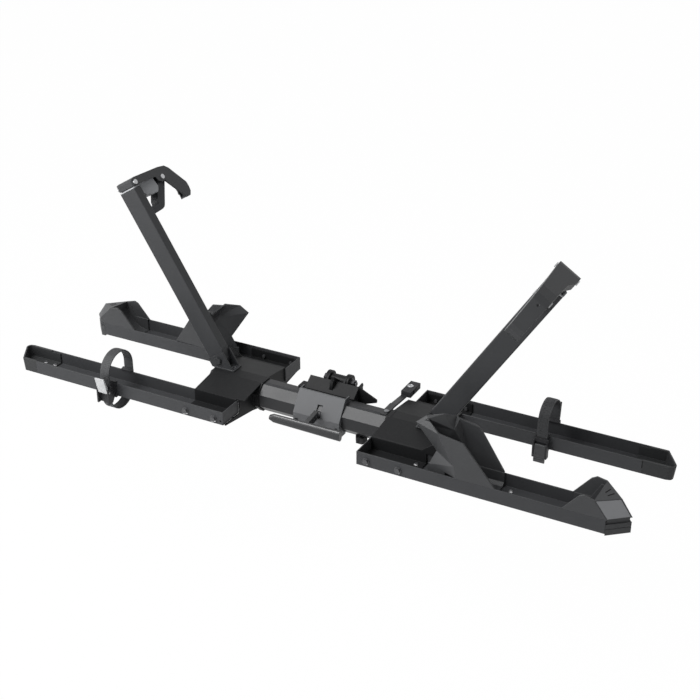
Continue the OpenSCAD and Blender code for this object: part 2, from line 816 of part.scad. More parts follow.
// Everything beyond the tray's end: its plan runs to a rounded tip and the whole end leans.
module beyond_end(g) {
    translate([strap_tray_end, 0, tray_top])
        rotate([0, end_lean, 0])
            translate([0, 0, -100])
                linear_extrude(200)
                    difference() {
                        translate([-60, strap_in - 60])
                            square([300, 200]);
                        polygon(concat(
                            [[-200, strap_in - 100], [strap_tray_slant - g - 14, strap_in - 100],
                                [strap_tray_slant - g, strap_in]],
                            [for (a = [-50:20:30])
                                [strap_tray_slant + tip_reach - tip_r - g, strap_in + tip_r]
                                    + tip_r * [cos(a), sin(a)]],
                            [[-g, strap_out], [-g - 20, strap_out + 100], [-200, strap_out + 100]]
                        ));
                    }
}

module strap_tray(s) {
    color("#2f3134") side(s) difference() {
        union() {
            tray_channel(strap_in, strap_out, strap_tray_x, cap_x0);
            box([strap_tray_x, strap_in, tray_floor], [strap_tray_x + tray_wall, strap_out, tray_top]);
        }
        for (x = tray_bolt_x)
            rod_y(strap_out - 5, strap_out + 1, x + 22, 3, 8.4);
        for (x = cap_screw_x)
            translate([x, strap_mid - 14, tray_floor - 1])
                cylinder(h = 5, d = 5.4);
        translate([strap_tray_x + 7, strap_out - 5, 0])
            rotate([-90, 0, 0])
                cylinder(h = 10, d = 5);
    }
}

module tray_cap(s) {
    g = tray_wall + seat;
    color("#27282b") side(s) difference() {
        union() {
            difference() {
                box([cap_x0 + seat, strap_in, tray_floor], [cap_x0 + 120, strap_out, tray_top]);
                difference() {
                    box([cap_x0 - 1, strap_in + g + 3, tray_floor + g + 3], [cap_x0 + 110, strap_out - g - 3, 60]);
                    beyond_end(4);
                }
            }
            difference() {
                box([cap_x0 - 26, strap_in + g, tray_floor + g], [cap_x0 + 10, strap_out - g, tray_top - 3]);
                box([cap_x0 - 30, strap_in + g + 3, tray_floor + g + 3], [cap_x0 + 12, strap_out - g - 3, 60]);
            }
        }
        beyond_end(0);
        for (x = cap_screw_x)
            translate([x, strap_mid - 14, tray_floor - 1])
                cylinder(h = 12, d = 5.4);
    }
}

// Wheel straps: both have the buckle on the near side of their tray, so they are not turned.
module at_strap(s) {
    rack()
        translate([s * strap_x, s * strap_mid, 0])
            children();
}
half_tray = strap_tray_w / 2;
clip_r = half_tray + run_gap;
clip_t = 3;
loop_r = clip_r + clip_t + 0.3;
clip_low = tray_floor - run_gap;

function loop_in(s) = s > 0 ? loop_r : loop_r + loop_slack;
function loop_y(s) = s > 0 ? 0 : 0.6 - loop_slack;
function near_y(s) = loop_y(s) - loop_in(s) - strap_t;

module strap_base(s) {
    half = strap_w / 2 + 3;
    color("#1d1e20") at_strap(s) {
        along_x(-half, half)
            difference() {
                translate([-clip_r - clip_t, clip_low - clip_t])
                    square([2 * (clip_r + clip_t), tray_top - clip_low + clip_t + 6]);
                translate([-clip_r, clip_low])
                    square([2 * clip_r, 100]);
            }
        // inward lips hold the clip on the rims
        for (m = [-1, 1])
            along_x(-half, half)
                scale([m, 1])
                    polygon([[clip_r + eps, tray_top + run_gap], [clip_r + clip_t, tray_top + run_gap],
                        [clip_r + clip_t, tray_top + 6], [clip_r - 6, tray_top + 3.5], [clip_r - 6, tray_top + run_gap]]);
        // the loose loop rests against a block on its near side
        if (s < 0)
            along_x(-half + 4, half - 4)
                polygon([[-clip_r - clip_t + eps, 14], [near_y(s) + strap_t + seat, 10], [near_y(s) + strap_t + seat, -4],
                    [-clip_r - clip_t - 9, -24], [-clip_r - clip_t + eps, clip_low - clip_t + 2]]);
    }
}

module strap_outline(s, t) {
    r = loop_in(s) + t;
    crown = tray_top + strap_top - loop_in(s) - strap_t;
    low = clip_low + 4;
    translate([loop_y(s), crown])
        circle(r = r);
    translate([loop_y(s) - r, low])
        square([2 * r, crown - low]);
    if (s < 0)
        translate([loop_y(s), low])
            circle(r = r);
}

module wheel_strap(s) {
    color("#3a3b3d") at_strap(s) {
        along_x(-strap_w / 2, strap_w / 2)
            difference() {
                strap_outline(s, strap_t);
                strap_outline(s, 0);
                if (s > 0)
                    translate([-100, clip_low])
                        square([200, 4.5]);
            }
        // free tail beyond the rear frame
        if (s > 0)
            translate([0, loop_r + strap_t, tray_top])
                along_x(4, 11)
                    polygon([[-1, 8], [6, 8], [6.4, 12], [10.2, 46], [7.6, 46], [3.8, 12], [-1, 12]]);
    }
}

// Ratchet buckle on the near side of the strap. The right lever hangs shut, the left one stands open.
lever_axle_d = 5;
buckle_wall = 4;
buckle_w = strap_w / 2 + 5;
function lever_y(s) = near_y(s) - 8;
function lever_z(s) = s > 0 ? 4 : 12;
function lever_turn(s) = s > 0 ? 0 : -160;

module buckle(s) {
    z0 = lever_z(s);
    y0 = near_y(s);
    color("#2b2c2e") at_strap(s) {
        difference() {
            box([-buckle_w, y0 - 13, z0 - 30], [buckle_w, y0 - seat, z0 + 8]);
            box([-buckle_w + buckle_wall, y0 - 20, z0 - 31], [buckle_w - buckle_wall, y0 - 3.4, z0 + 9]);
            rod_x(-buckle_w - 1, buckle_w + 1, lever_y(s), z0, lever_axle_d + 2 * pin_gap);
        }
        box([-buckle_w, y0 - 3, z0 + 8 - eps], [buckle_w, y0 - seat, z0 + 16]);
    }
}

module buckle_lever(s) {
    w = buckle_w - buckle_wall - run_gap;
    color(s > 0 ? "#4b4d50" : "#d8d9db") at_strap(s)
        translate([0, lever_y(s), lever_z(s)])
            rotate([lever_turn(s), 0, 0]) {
                difference() {
                    along_x(-w, w)
                        union() {
                            circle(r = 3.6);
                            polygon([[-3.3, 1], [-5, 6 - lever_l], [-4, -lever_l], [-1, -lever_l], [3.4, -1.4]]);
                        }
                    // finger grooves
                    for (z = [8 - lever_l:7:-14])
                        rod_x(-w + 4, w - 4, -7, z, 6);
                }
                rod_x(-buckle_w, buckle_w, 0, 0, lever_axle_d);
            }
}

// Arms: everything above the bracket is drawn along the arm, from its pivot.
arm_foot_r = 17;
ear_y = arm_d / 2 + run_gap;
ear_t = 3.5;

module arm(s) {
    side(s)
        translate([pivot_x(s), -arm_y, arm_pivot_z])
            rotate([0, lean(s), 0])
                children();
}

// A point of the arm's own frame in X and Z from its pivot, and where the arm's two edges meet the bracket.
function leant(s, x, z) = [cos(lean(s)) * x + sin(lean(s)) * z, cos(lean(s)) * z - sin(lean(s)) * x];
function foot(s, m) = let (z = bracket_z + 1 - arm_pivot_z)
    [(m * arm_w / 2 + sin(lean(s)) * z) / cos(lean(s)), z];

module arm_bracket(s) {
    color("#3b3d40") side(s) difference() {
        union() {
            box([pivot_x(s) - 45, -arm_y - ear_y - ear_t - 1, bracket_z],
                [pivot_x(s) + 12, -arm_y + ear_y + ear_t + 1, bracket_z + bracket_t]);
            for (y = [-ear_y - ear_t, ear_y])
                translate([pivot_x(s), 0, arm_pivot_z])
                    along_y(-arm_y + y, -arm_y + y + ear_t)
                        polygon([foot(s, -1), leant(s, -arm_w / 2, 14), leant(s, arm_w / 2, 14), foot(s, 1)]);
        }
        rod_y(-100, 100, pivot_x(s), arm_pivot_z, arm_bolt_d + 2 * pin_gap);
        for (dx = bracket_bolt_dx)
            translate([pivot_x(s) + dx, -arm_y, beam_r]) {
                cylinder(h = 12, d = frame_bolt_d + 0.4);
                translate([0, 0, bracket_z + bracket_t - 2.2 - beam_r])
                    cylinder(h = 6, d = frame_head_d + 0.6);
            }
    }
}

module arm_bolt(s) {
    color("#8d9094") arm(s)
        rotate([90, 0, 0]) {
            translate([0, 0, -ear_y - ear_t - 1])
                cylinder(h = 2 * (ear_y + ear_t) + 2, d = arm_bolt_d);
            translate([0, 0, ear_y + ear_t + seat])
                cylinder(h = 3.6, d = 17);
            translate([0, 0, -ear_y - ear_t - seat - 4])
                cylinder(h = 4, d = 17 / cos(30), $fn = 6);
        }
}

module arm_section(w, d, r) {
    hull()
        for (x = [-1, 1])
            for (y = [-1, 1])
                translate([x * (w / 2 - r), y * (d / 2 - r)])
                    circle(r = r, $fn = 20);
}

module arm_tube(s) {
    color("#3f4144") arm(s) difference() {
        union() {
            translate([0, 0, 22])
                linear_extrude(arm_l - 22)
                    arm_section(arm_w, arm_d, 3);
            along_y(-arm_d / 2, arm_d / 2)
                union() {
                    circle(r = arm_foot_r);
                    polygon([[-arm_w / 2, 23], [-arm_foot_r, 0], [arm_foot_r, 0], [arm_w / 2, 23]]);
                }
        }
        translate([0, 0, 24])
            linear_extrude(arm_l)
                square([arm_w - 2 * arm_wall, arm_d - 2 * arm_wall], center = true);
        rod_y(-50, 50, 0, 0, arm_bolt_d + 2 * pin_gap);
    }
}

// Toothed strip inside the tube, on its wheel side, for the latch at the inner arm's end.
strip_t = 1.2;
strip_w = 14;
strip_pitch = 12;
hook_z = arm_l - 9;
inner_w = arm_w - 2 * arm_wall - 2 * run_gap;
inner_d = arm_d - 2 * arm_wall - 2 * (strip_t + run_gap);
inner_top = hook_z + 25.5;
inner_low = inner_top - inner_arm_l;
plug_t = 8;

module ratchet_strip(s) {
    y0 = -arm_d / 2 + arm_wall;
    z0 = 50;
    z1 = arm_l - 10;
    color("#2a2b2d") arm(s) difference() {
        box([-strip_w / 2, y0, z0], [strip_w / 2, y0 + strip_t, z1]);
        for (z = [z0 + 8:strip_pitch:z1 - 8])
            box([-strip_w / 2 + 2, y0 + strip_t / 2, z], [strip_w / 2 - 2, y0 + strip_t + 1, z + strip_pitch / 2]);
    }
}

function hook_out(s) = s > 0 ? right_hook_out : left_hook_out;

module slid(s) {
    arm(s)
        translate([0, 0, hook_out(s)])
            children();
}

// Moulded guide ring on the tube's mouth.
module arm_collar(s) {
    color("#a3a5a8") arm(s) difference() {
        translate([0, 0, arm_l + eps])
            linear_extrude(3)
                arm_section(arm_w + 1, arm_d + 1, 5);
        translate([0, 0, arm_l - 50])
            linear_extrude(100)
                square([inner_w + 2 * run_gap, inner_d + 2 * run_gap], center = true);
    }
}

module inner_arm(s) {
    wall = 2.5;
    color("#4a4c4f") slid(s) difference() {
        translate([-inner_w / 2, -inner_d / 2, inner_low])
            cube([inner_w, inner_d, inner_arm_l]);
        translate([-inner_w / 2 + wall, -inner_d / 2 + wall, inner_low + plug_t])
            cube([inner_w - 2 * wall, inner_d - 2 * wall, inner_arm_l]);
        translate([0, 0, inner_low - 1])
            cylinder(h = 20, d = latch_rod_d + 2 * pin_gap);
        hook_bore(pin_a, hook_pin_d);
    }
}

// Release rod in the inner arm, with the latch that takes the strip's teeth at its lower end.
module latch_rod(s) {
    latch_y = -arm_d / 2 + arm_wall + strip_t + run_gap;
    color("#77797c") slid(s) {
        translate([0, 0, inner_low - 1])
            cylinder(h = hook_z + 6 - inner_low, d = latch_rod_d);
        translate([-strip_w / 2 + 3, latch_y, inner_low - 13])
            cube([strip_w - 6, latch_rod_d / 2 - latch_y, 13 - run_gap]);
    }
}

// The hook's outline lies in the plane across the beam: v reaches past the arm, u goes up the arm.
// Its crown is at v = 0, and the arm's mid plane is at v = -hook_reach.
pin_a = [-hook_reach - 2, 21];
pin_b = [-41, 2.3];

module hook_outline(g) {
    r = hook_reach;
    polygon([[-r - 11.2 + g, 14], [-r - 11.2 + g, 27], [-r - 7 + 0.7 * g, 31.5 - 0.7 * g], [-r + 2, 33 - g],
        [-40, 28 - g], [-14 - 0.2 * g, 24 - g], [-1 - 0.6 * g, 14.5 - 0.8 * g], [37 - g, -36 - 0.4 * g],
        [38 - g, -48], [36 - g, -60 + 0.4 * g], [27, -69.5 + g], [10.5, -69.5 - 20 * g], [-37, -7 - 20 * g],
        [-46, -9 - 20 * g], [-60, -2 - 20 * g], [-64, 9.5 - 20 * g], [-r + 12, 14 - 20 * g]]);
}

// Places an outline in v and u across the beam, between two distances from the arm's mid line.
module across(x0, x1) {
    translate([0, -hook_reach, hook_z])
        rotate([0, 0, 180])
            along_x(-x1, -x0)
                children();
}

module hook_bore(p, d) {
    translate([0, -hook_reach - p[0], hook_z + p[1]])
        rotate([0, 90, 0])
            translate([0, 0, -60])
                cylinder(h = 120, d = d);
}

hook_half = hook_gap / 2 + hook_t;
function inboard(v) = hook_taper * (v + hook_reach) / (hook_reach + 38);

// The hook's plan: full width round the arm with rounded corners, narrower from there to the tip.
hook_neck = 17;
neck_y = -46;
rim_w = 12;
module hook_plan(g) {
    r = 6.5;
    far = hook_reach + 60;
    linear_extrude(hook_z + 200) {
        hull()
            for (x = [-1, 1])
                for (y = [11.2 - r, -4])
                    translate([x * (hook_half - r), y])
                        circle(r = r - g, $fn = 24);
        polygon([[g - hook_half, -4], [g - hook_half + inboard(60), -far], [hook_neck - g, -far],
            [hook_neck - g, neck_y - 0.3 * g], [hook_half - g, -22 - 0.3 * g], [hook_half - g, -4]]);
    }
}

module hook(s) {
    color("#3c3e41") slid(s) difference() {
        intersection() {
            across(-hook_half, hook_half)
                hook_outline(0);
            hook_plan(0);
        }
        intersection() {
            across(-hook_gap / 2, hook_gap / 2)
                hook_outline(hook_t);
            hook_plan(hook_t);
        }
        hook_bore(pin_a, hook_pin_d);
        hook_bore(pin_b, hook_pin_d);
        // past the trigger's pin the outboard plate is only a rim
        across(hook_neck - hook_t - 0.5, hook_half + 1)
            intersection() {
                hook_outline(rim_w);
                translate([pin_b[0] + 7, -200])
                    square([100, 400]);
            }
        // small square hole in the web below the crown
        translate([0, -hook_reach - 2, hook_z + 10])
            rotate([90 - 53, 0, 0])
                rotate([0, 0, 45])
                    cube([5, 5, 24], center = true);
    }
}

module hook_pins(s) {
    color("#b9bbbe") slid(s)
        for (p = [pin_a, pin_b])
            translate([0, -hook_reach - p[0], hook_z + p[1]])
                rotate([0, 90, 0]) {
                    in_at = inboard(p[0]) - hook_half;
                    translate([0, 0, in_at - 1])
                        cylinder(h = (p[0] > -hook_reach ? hook_neck : hook_half) - in_at + 2, d = hook_pin_d);
                    out_at = p[0] > -hook_reach ? hook_neck : hook_half;
                    for (x = [in_at - 3, out_at + 0.2])
                        translate([0, 0, x])
                            cylinder(h = 2.4, d = hook_pin_d + 5);
                }
}

module hook_pad(s) {
    w = hook_gap / 2 - seat - inboard(-60);
    color("#8b8e91") slid(s)
        across(-w, hook_neck - hook_t - seat)
            polygon([[-hook_reach + arm_d / 2 + 3.5, 18], [-hook_reach + arm_d / 2 + 3.5, -10], [-118, -18],
                [-95, -23], [-78, -25], [-71, -19], [-67, -12], [-71, 4], [-71, 15]]);
}

module trigger(s) {
    w = trigger_w / 2;
    tip = -hook_reach + arm_d / 2 + 0.6;
    color("#33353a") slid(s) difference() {
        across(-w, w)
            polygon([[-30, -8.5], [-71, -59], [-76, -63.5], [-85, -66], [tip, -67.6], [tip, -47], [-112, -50],
                [-92, -51], [-86, -47], [-85, -40], [-50, 4], [-46, 10], [-41, 11.5], [-35, 10], [-32, 6]]);
        hook_bore(pin_b, hook_pin_d + 2 * pin_gap);
    }
}

tilt_bracket();
tilt_bolt();
tilt_nut();
saddle();
main_beam();
beam_end_caps();
centre_cover();
cover_bolts();
frame_bolts();
pull_handle();
lock_rod();
lock_spring();
stay_knob();
cable_bar();
cable_block();
cable_lock_barrel();
bridge(1);  // right_bridge
bridge(-1);  // left_bridge
tray_bolts(1);  // right_tray_bolts
tray_bolts(-1);  // left_tray_bolts
wheel_tray(1);  // right_wheel_tray
wheel_tray(-1);  // left_wheel_tray
wheel_cup(1);  // right_wheel_cup
wheel_cup(-1);  // left_wheel_cup
wheel_scoop(1);  // right_wheel_scoop
wheel_scoop(-1);  // left_wheel_scoop
strap_tray(1);  // right_strap_tray
strap_tray(-1);  // left_strap_tray
tray_cap(1);  // right_tray_cap
tray_cap(-1);  // left_tray_cap
strap_base(1);  // right_strap_base
strap_base(-1);  // left_strap_base
wheel_strap(1);  // right_wheel_strap
wheel_strap(-1);  // left_wheel_strap
buckle(1);  // right_buckle
buckle(-1);  // left_buckle
buckle_lever(1);  // right_buckle_lever
buckle_lever(-1);  // left_buckle_lever
arm_bracket(1);  // right_arm_bracket
arm_bracket(-1);  // left_arm_bracket
arm_bolt(1);  // right_arm_bolt
arm_bolt(-1);  // left_arm_bolt
arm_tube(1);  // right_arm_tube
arm_tube(-1);  // left_arm_tube
ratchet_strip(1);  // right_ratchet_strip
ratchet_strip(-1);  // left_ratchet_strip
arm_collar(1);  // right_arm_collar
arm_collar(-1);  // left_arm_collar
inner_arm(1);  // right_inner_arm
inner_arm(-1);  // left_inner_arm
hook(1);  // right_hook
hook(-1);  // left_hook
hook_pad(1);  // right_hook_pad
hook_pad(-1);  // left_hook_pad
hook_pins(1);  // right_hook_pins
hook_pins(-1);  // left_hook_pins
trigger(1);  // right_trigger
trigger(-1);  // left_trigger
latch_rod(1);  // right_latch_rod
latch_rod(-1);  // left_latch_rod
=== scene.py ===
"""A platform rack for two bicycles on a towing hitch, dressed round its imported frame."""

import json
import math

import bmesh
import bpy
from mathutils import Matrix, Vector


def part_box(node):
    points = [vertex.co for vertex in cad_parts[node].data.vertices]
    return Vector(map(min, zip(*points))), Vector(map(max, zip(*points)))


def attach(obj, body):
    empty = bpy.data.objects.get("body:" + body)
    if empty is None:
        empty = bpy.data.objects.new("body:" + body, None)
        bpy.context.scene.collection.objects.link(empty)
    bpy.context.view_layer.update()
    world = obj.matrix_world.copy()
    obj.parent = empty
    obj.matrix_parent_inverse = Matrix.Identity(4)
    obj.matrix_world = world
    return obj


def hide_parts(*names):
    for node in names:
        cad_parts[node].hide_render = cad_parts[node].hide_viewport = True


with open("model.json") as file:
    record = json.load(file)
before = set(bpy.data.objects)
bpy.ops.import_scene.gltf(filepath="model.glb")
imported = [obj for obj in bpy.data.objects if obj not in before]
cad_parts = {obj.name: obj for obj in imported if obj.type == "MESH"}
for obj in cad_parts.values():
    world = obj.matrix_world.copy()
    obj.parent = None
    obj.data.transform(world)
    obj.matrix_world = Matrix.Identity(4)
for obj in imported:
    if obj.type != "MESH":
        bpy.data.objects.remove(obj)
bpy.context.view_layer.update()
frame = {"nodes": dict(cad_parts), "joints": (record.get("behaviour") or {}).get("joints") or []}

# Studio
# White sweep and a compact key from high on the left, placed where the beam's upper bevel
# mirrors it, so that bevel shines while tops stay dark; a wide weaker light fills the fronts.
beam_low, beam_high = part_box("main_beam")
beam_axis = (beam_low + beam_high) / 2


def at(x, y, z):
    """A point measured in millimetres from the middle of the beam's axis."""
    return beam_axis + Vector((x, y, z)) / 1000


def in_scene(name, data):
    """A new object in the scene that shows a mesh, a lamp, a curve or a camera."""
    made = bpy.data.objects.new(name, data)
    bpy.context.scene.collection.objects.link(made)
    return made


camera_place = at(1348.01, -2423.89, 1596.13)
camera_tilt, camera_turn = 62.608, 27.943
photo_camera = bpy.data.cameras.new("photo_camera")
photo_camera.lens = 69.94
photo_camera.sensor_width = 36
camera = in_scene("photo_camera", photo_camera)
camera.location = camera_place
camera.rotation_euler = (math.radians(camera_tilt), 0, math.radians(camera_turn))
bpy.context.scene.camera = camera
bpy.context.scene.view_settings.view_transform = "Standard"

rack_middle = at(0, 0, 147)


def softbox(name, towards, distance, size, watts):
    """A square lamp that lies in a direction from the rack's middle and faces it."""
    light = bpy.data.lights.new(name, "AREA")
    light.shape = "RECTANGLE"
    light.size, light.size_y = size
    light.energy = watts
    lamp = in_scene(name, light)
    direction = Vector(towards).normalized()
    lamp.location = rack_middle + direction * distance
    lamp.rotation_euler = direction.to_track_quat("Z", "Y").to_euler()


softbox("key_softbox", (-0.42, -0.47, 0.78), distance=3.2, size=(1.7, 1.7), watts=120)
softbox("front_left_softbox", (-0.9, -0.9, 0.2), distance=2.6, size=(1.8, 1.6), watts=34)
softbox("right_softbox", (0.95, -0.62, 0.4), distance=3.4, size=(1.6, 1.6), watts=8)


def sees_background(tree):
    """A value of 1 for rays from the camera, from gloss and through glass."""
    path = tree.nodes.new("ShaderNodeLightPath")
    first = tree.nodes.new("ShaderNodeMath")
    first.operation = "MAXIMUM"
    tree.links.new(path.outputs["Is Camera Ray"], first.inputs[0])
    tree.links.new(path.outputs["Is Glossy Ray"], first.inputs[1])
    second = tree.nodes.new("ShaderNodeMath")
    second.operation = "MAXIMUM"
    tree.links.new(first.outputs[0], second.inputs[0])
    tree.links.new(path.outputs["Is Transmission Ray"], second.inputs[1])
    return second.outputs[0]


world = bpy.data.worlds.new("studio")
bpy.context.scene.world = world
world.use_nodes = True
sky = world.node_tree
sky.nodes.clear()
shown = sky.nodes.new("ShaderNodeBackground")
shown.inputs["Color"].default_value = (1, 1, 1, 1)
fill = sky.nodes.new("ShaderNodeBackground")
fill.inputs["Color"].default_value = (0.2, 0.205, 0.21, 1)
either = sky.nodes.new("ShaderNodeMixShader")
sky.links.new(sees_background(sky), either.inputs[0])
sky.links.new(fill.outputs[0], either.inputs[1])
sky.links.new(shown.outputs[0], either.inputs[2])
sky_out = sky.nodes.new("ShaderNodeOutputWorld")
sky.links.new(either.outputs[0], sky_out.inputs["Surface"])

floor_z = at(0, 0, -423).z
floor_half = 30
floor_mesh = bpy.data.meshes.new("studio_floor")
floor_mesh.from_pydata(
    [(x * floor_half, y * floor_half, floor_z) for x, y in ((-1, -1), (1, -1), (1, 1), (-1, 1))],
    [],
    [(0, 1, 2, 3)],
)
floor = in_scene("studio_floor", floor_mesh)
floor_paint = bpy.data.materials.new("studio_floor")
floor_paint.use_nodes = True
sweep = floor_paint.node_tree
sweep.nodes.clear()
matt = sweep.nodes.new("ShaderNodeBsdfDiffuse")
matt.inputs["Color"].default_value = (0.82, 0.82, 0.82, 1)
white = sweep.nodes.new("ShaderNodeEmission")
white_share = sweep.nodes.new("ShaderNodeMath")
white_share.operation = "MULTIPLY"
white_share.inputs[1].default_value = 0.99
sweep.links.new(sees_background(sweep), white_share.inputs[0])
blend = sweep.nodes.new("ShaderNodeMixShader")
sweep.links.new(white_share.outputs[0], blend.inputs[0])
sweep.links.new(matt.outputs[0], blend.inputs[1])
sweep.links.new(white.outputs[0], blend.inputs[2])
sweep_out = sweep.nodes.new("ShaderNodeOutputMaterial")
sweep.links.new(blend.outputs[0], sweep_out.inputs["Surface"])
floor_mesh.materials.append(floor_paint)

# Beam
# Octagonal steel tube across the vehicle, powder coated a satin near-black. Low ridges are
# pressed along the front edge of its top face, on both sides of the centre cover; their
# lighter, matt colour is a painted highlight.


def socket(tree, name, kind, value=None, out=False):
    """Adds a named input or output to a node group."""
    made = tree.interface.new_socket(
        name=name, in_out="OUTPUT" if out else "INPUT", socket_type=kind
    )
    if value is not None:
        made.default_value = value


def powder_coat_group():
    """Orange peel of about a millimetre, faint clouds and a film of dust on what faces up."""
    tree = bpy.data.node_groups.new("powder coat", "ShaderNodeTree")
    socket(tree, "Colour", "NodeSocketColor", (0.05, 0.05, 0.05, 1))
    socket(tree, "Gloss roughness", "NodeSocketFloat", 0.45)
    socket(tree, "Grain per metre", "NodeSocketFloat", 900.0)
    socket(tree, "Grain depth", "NodeSocketFloat", 0.06)
    socket(tree, "Dust", "NodeSocketFloat", 0.12)
    socket(tree, "Edge radius", "NodeSocketFloat", 0.0015)
    socket(tree, "Colour", "NodeSocketColor", out=True)
    socket(tree, "Roughness", "NodeSocketFloat", out=True)
    socket(tree, "Normal", "NodeSocketVector", out=True)
    nodes, links = tree.nodes, tree.links
    given, result = nodes.new("NodeGroupInput"), nodes.new("NodeGroupOutput")
    place = nodes.new("ShaderNodeTexCoord")
    peel = nodes.new("ShaderNodeTexNoise")
    peel.inputs["Detail"].default_value = 3
    links.new(place.outputs["Object"], peel.inputs["Vector"])
    links.new(given.outputs["Grain per metre"], peel.inputs["Scale"])
    cloud = nodes.new("ShaderNodeTexNoise")
    cloud.inputs["Scale"].default_value = 14
    cloud.inputs["Detail"].default_value = 5
    links.new(place.outputs["Object"], cloud.inputs["Vector"])
    shade = nodes.new("ShaderNodeMapRange")
    shade.inputs["To Min"].default_value = 0.86
    shade.inputs["To Max"].default_value = 1.14
    links.new(cloud.outputs["Fac"], shade.inputs["Value"])
    tint = nodes.new("ShaderNodeVectorMath")
    tint.operation = "SCALE"
    links.new(given.outputs["Colour"], tint.inputs[0])
    links.new(shade.outputs[0], tint.inputs["Scale"])
    facing = nodes.new("ShaderNodeNewGeometry")
    up = nodes.new("ShaderNodeSeparateXYZ")
    links.new(facing.outputs["Normal"], up.inputs[0])
    speck = nodes.new("ShaderNodeTexNoise")
    speck.inputs["Scale"].default_value = 230
    speck.inputs["Detail"].default_value = 6
    links.new(place.outputs["Object"], speck.inputs["Vector"])
    settled = nodes.new("ShaderNodeMapRange")
    settled.inputs["From Min"].default_value = 0.45
    settled.inputs["From Max"].default_value = 0.75
    links.new(speck.outputs["Fac"], settled.inputs["Value"])
    film = nodes.new("ShaderNodeMath")
    film.operation = "MULTIPLY"
    film.use_clamp = True
    links.new(up.outputs["Z"], film.inputs[0])
    links.new(settled.outputs[0], film.inputs[1])
    amount = nodes.new("ShaderNodeMath")
    amount.operation = "MULTIPLY"
    links.new(film.outputs[0], amount.inputs[0])
    links.new(given.outputs["Dust"], amount.inputs[1])
    dusty = nodes.new("ShaderNodeMix")
    dusty.data_type = "RGBA"
    dusty.inputs["B"].default_value = (0.1, 0.097, 0.093, 1)
    links.new(amount.outputs[0], dusty.inputs["Factor"])
    links.new(tint.outputs[0], dusty.inputs["A"])
    links.new(dusty.outputs["Result"], result.inputs["Colour"])
    worn = nodes.new("ShaderNodeMath")
    worn.operation = "MULTIPLY_ADD"
    worn.inputs[1].default_value = 0.14
    links.new(cloud.outputs["Fac"], worn.inputs[0])
    links.new(given.outputs["Gloss roughness"], worn.inputs[2])
    links.new(worn.outputs[0], result.inputs["Roughness"])
    rounded = nodes.new("ShaderNodeBevel")
    rounded.samples = 4
    links.new(given.outputs["Edge radius"], rounded.inputs["Radius"])
    bump = nodes.new("ShaderNodeBump")
    bump.inputs["Distance"].default_value = 0.0004
    links.new(given.outputs["Grain depth"], bump.inputs["Strength"])
    links.new(peel.outputs["Fac"], bump.inputs["Height"])
    links.new(rounded.outputs[0], bump.inputs["Normal"])
    links.new(bump.outputs[0], result.inputs["Normal"])
    return tree


powder_coat = powder_coat_group()


def coated(
    name, colour, roughness, grain=900.0, depth=0.06, dust=0.12, specular=0.25, edge=0.0015
):
    """A painted or moulded finish made with the powder coat effect."""
    material = bpy.data.materials.new(name)
    material.use_nodes = True
    tree = material.node_tree
    shader = tree.nodes["Principled BSDF"]
    shader.inputs["Specular IOR Level"].default_value = specular
    effect = tree.nodes.new("ShaderNodeGroup")
    effect.node_tree = powder_coat
    effect.inputs["Colour"].default_value = (*colour, 1)
    effect.inputs["Gloss roughness"].default_value = roughness
    effect.inputs["Grain per metre"].default_value = grain
    effect.inputs["Grain depth"].default_value = depth
    effect.inputs["Dust"].default_value = dust
    effect.inputs["Edge radius"].default_value = edge
    tree.links.new(effect.outputs["Colour"], shader.inputs["Base Color"])
    tree.links.new(effect.outputs["Roughness"], shader.inputs["Roughness"])
    tree.links.new(effect.outputs["Normal"], shader.inputs["Normal"])
    return material


def finish_nodes(material, *names):
    """Gives CAD nodes their finish."""
    for name in names:
        mesh = frame["nodes"][name].data
        mesh.materials.clear()
        mesh.materials.append(material)


frame_paint = coated("frame_paint", (0.02, 0.0205, 0.022), 0.3, edge=0.0001)
# Painted highlight: the ridges share the beam's coat, but are coloured lighter and matt to stand
# in for the light they catch.
ridge_highlight_paint = coated(
    "ridge_highlight_paint", (0.06, 0.061, 0.064), 0.6, dust=0.0, specular=0.0, edge=0.0001
)
finish_nodes(frame_paint, "main_beam")


def begin_tree(name, *inputs):
    """A Geometry Nodes tree with its named inputs, and the node that gives them."""
    tree = bpy.data.node_groups.new(name, "GeometryNodeTree")
    socket(tree, "Geometry", "NodeSocketGeometry")
    for one in inputs:
        socket(tree, *one)
    socket(tree, "Material", "NodeSocketMaterial")
    socket(tree, "Geometry", "NodeSocketGeometry", out=True)
    return tree, tree.nodes.new("NodeGroupInput")


def end_tree(tree, given, copies):
    """Makes a tree's copies real, gives them their material and puts them out."""
    nodes, links = tree.nodes, tree.links
    real = nodes.new("GeometryNodeRealizeInstances")
    links.new(copies.outputs[0], real.inputs[0])
    dress = nodes.new("GeometryNodeSetMaterial")
    links.new(real.outputs[0], dress.inputs["Geometry"])
    links.new(given.outputs["Material"], dress.inputs["Material"])
    result = nodes.new("NodeGroupOutput")
    links.new(dress.outputs[0], result.inputs["Geometry"])
    return tree


def row_of_ribs():
    """Copies of one block in a straight row."""
    tree, given = begin_tree(
        "row of ribs",
        ("Count", "NodeSocketInt", 6),
        ("First", "NodeSocketVector"),
        ("Step", "NodeSocketVector"),
        ("Size", "NodeSocketVector", (0.01, 0.001, 0.001)),
        ("Turn", "NodeSocketRotation"),
    )
    nodes, links = tree.nodes, tree.links
    row = nodes.new("GeometryNodeMeshLine")
    links.new(given.outputs["Count"], row.inputs["Count"])
    links.new(given.outputs["First"], row.inputs["Start Location"])
    links.new(given.outputs["Step"], row.inputs["Offset"])
    block = nodes.new("GeometryNodeMeshCube")
    links.new(given.outputs["Size"], block.inputs["Size"])
    copies = nodes.new("GeometryNodeInstanceOnPoints")
    links.new(row.outputs["Mesh"], copies.inputs["Points"])
    links.new(block.outputs["Mesh"], copies.inputs["Instance"])
    links.new(given.outputs["Turn"], copies.inputs["Rotation"])
    return end_tree(tree, given, copies)


ribs = row_of_ribs()


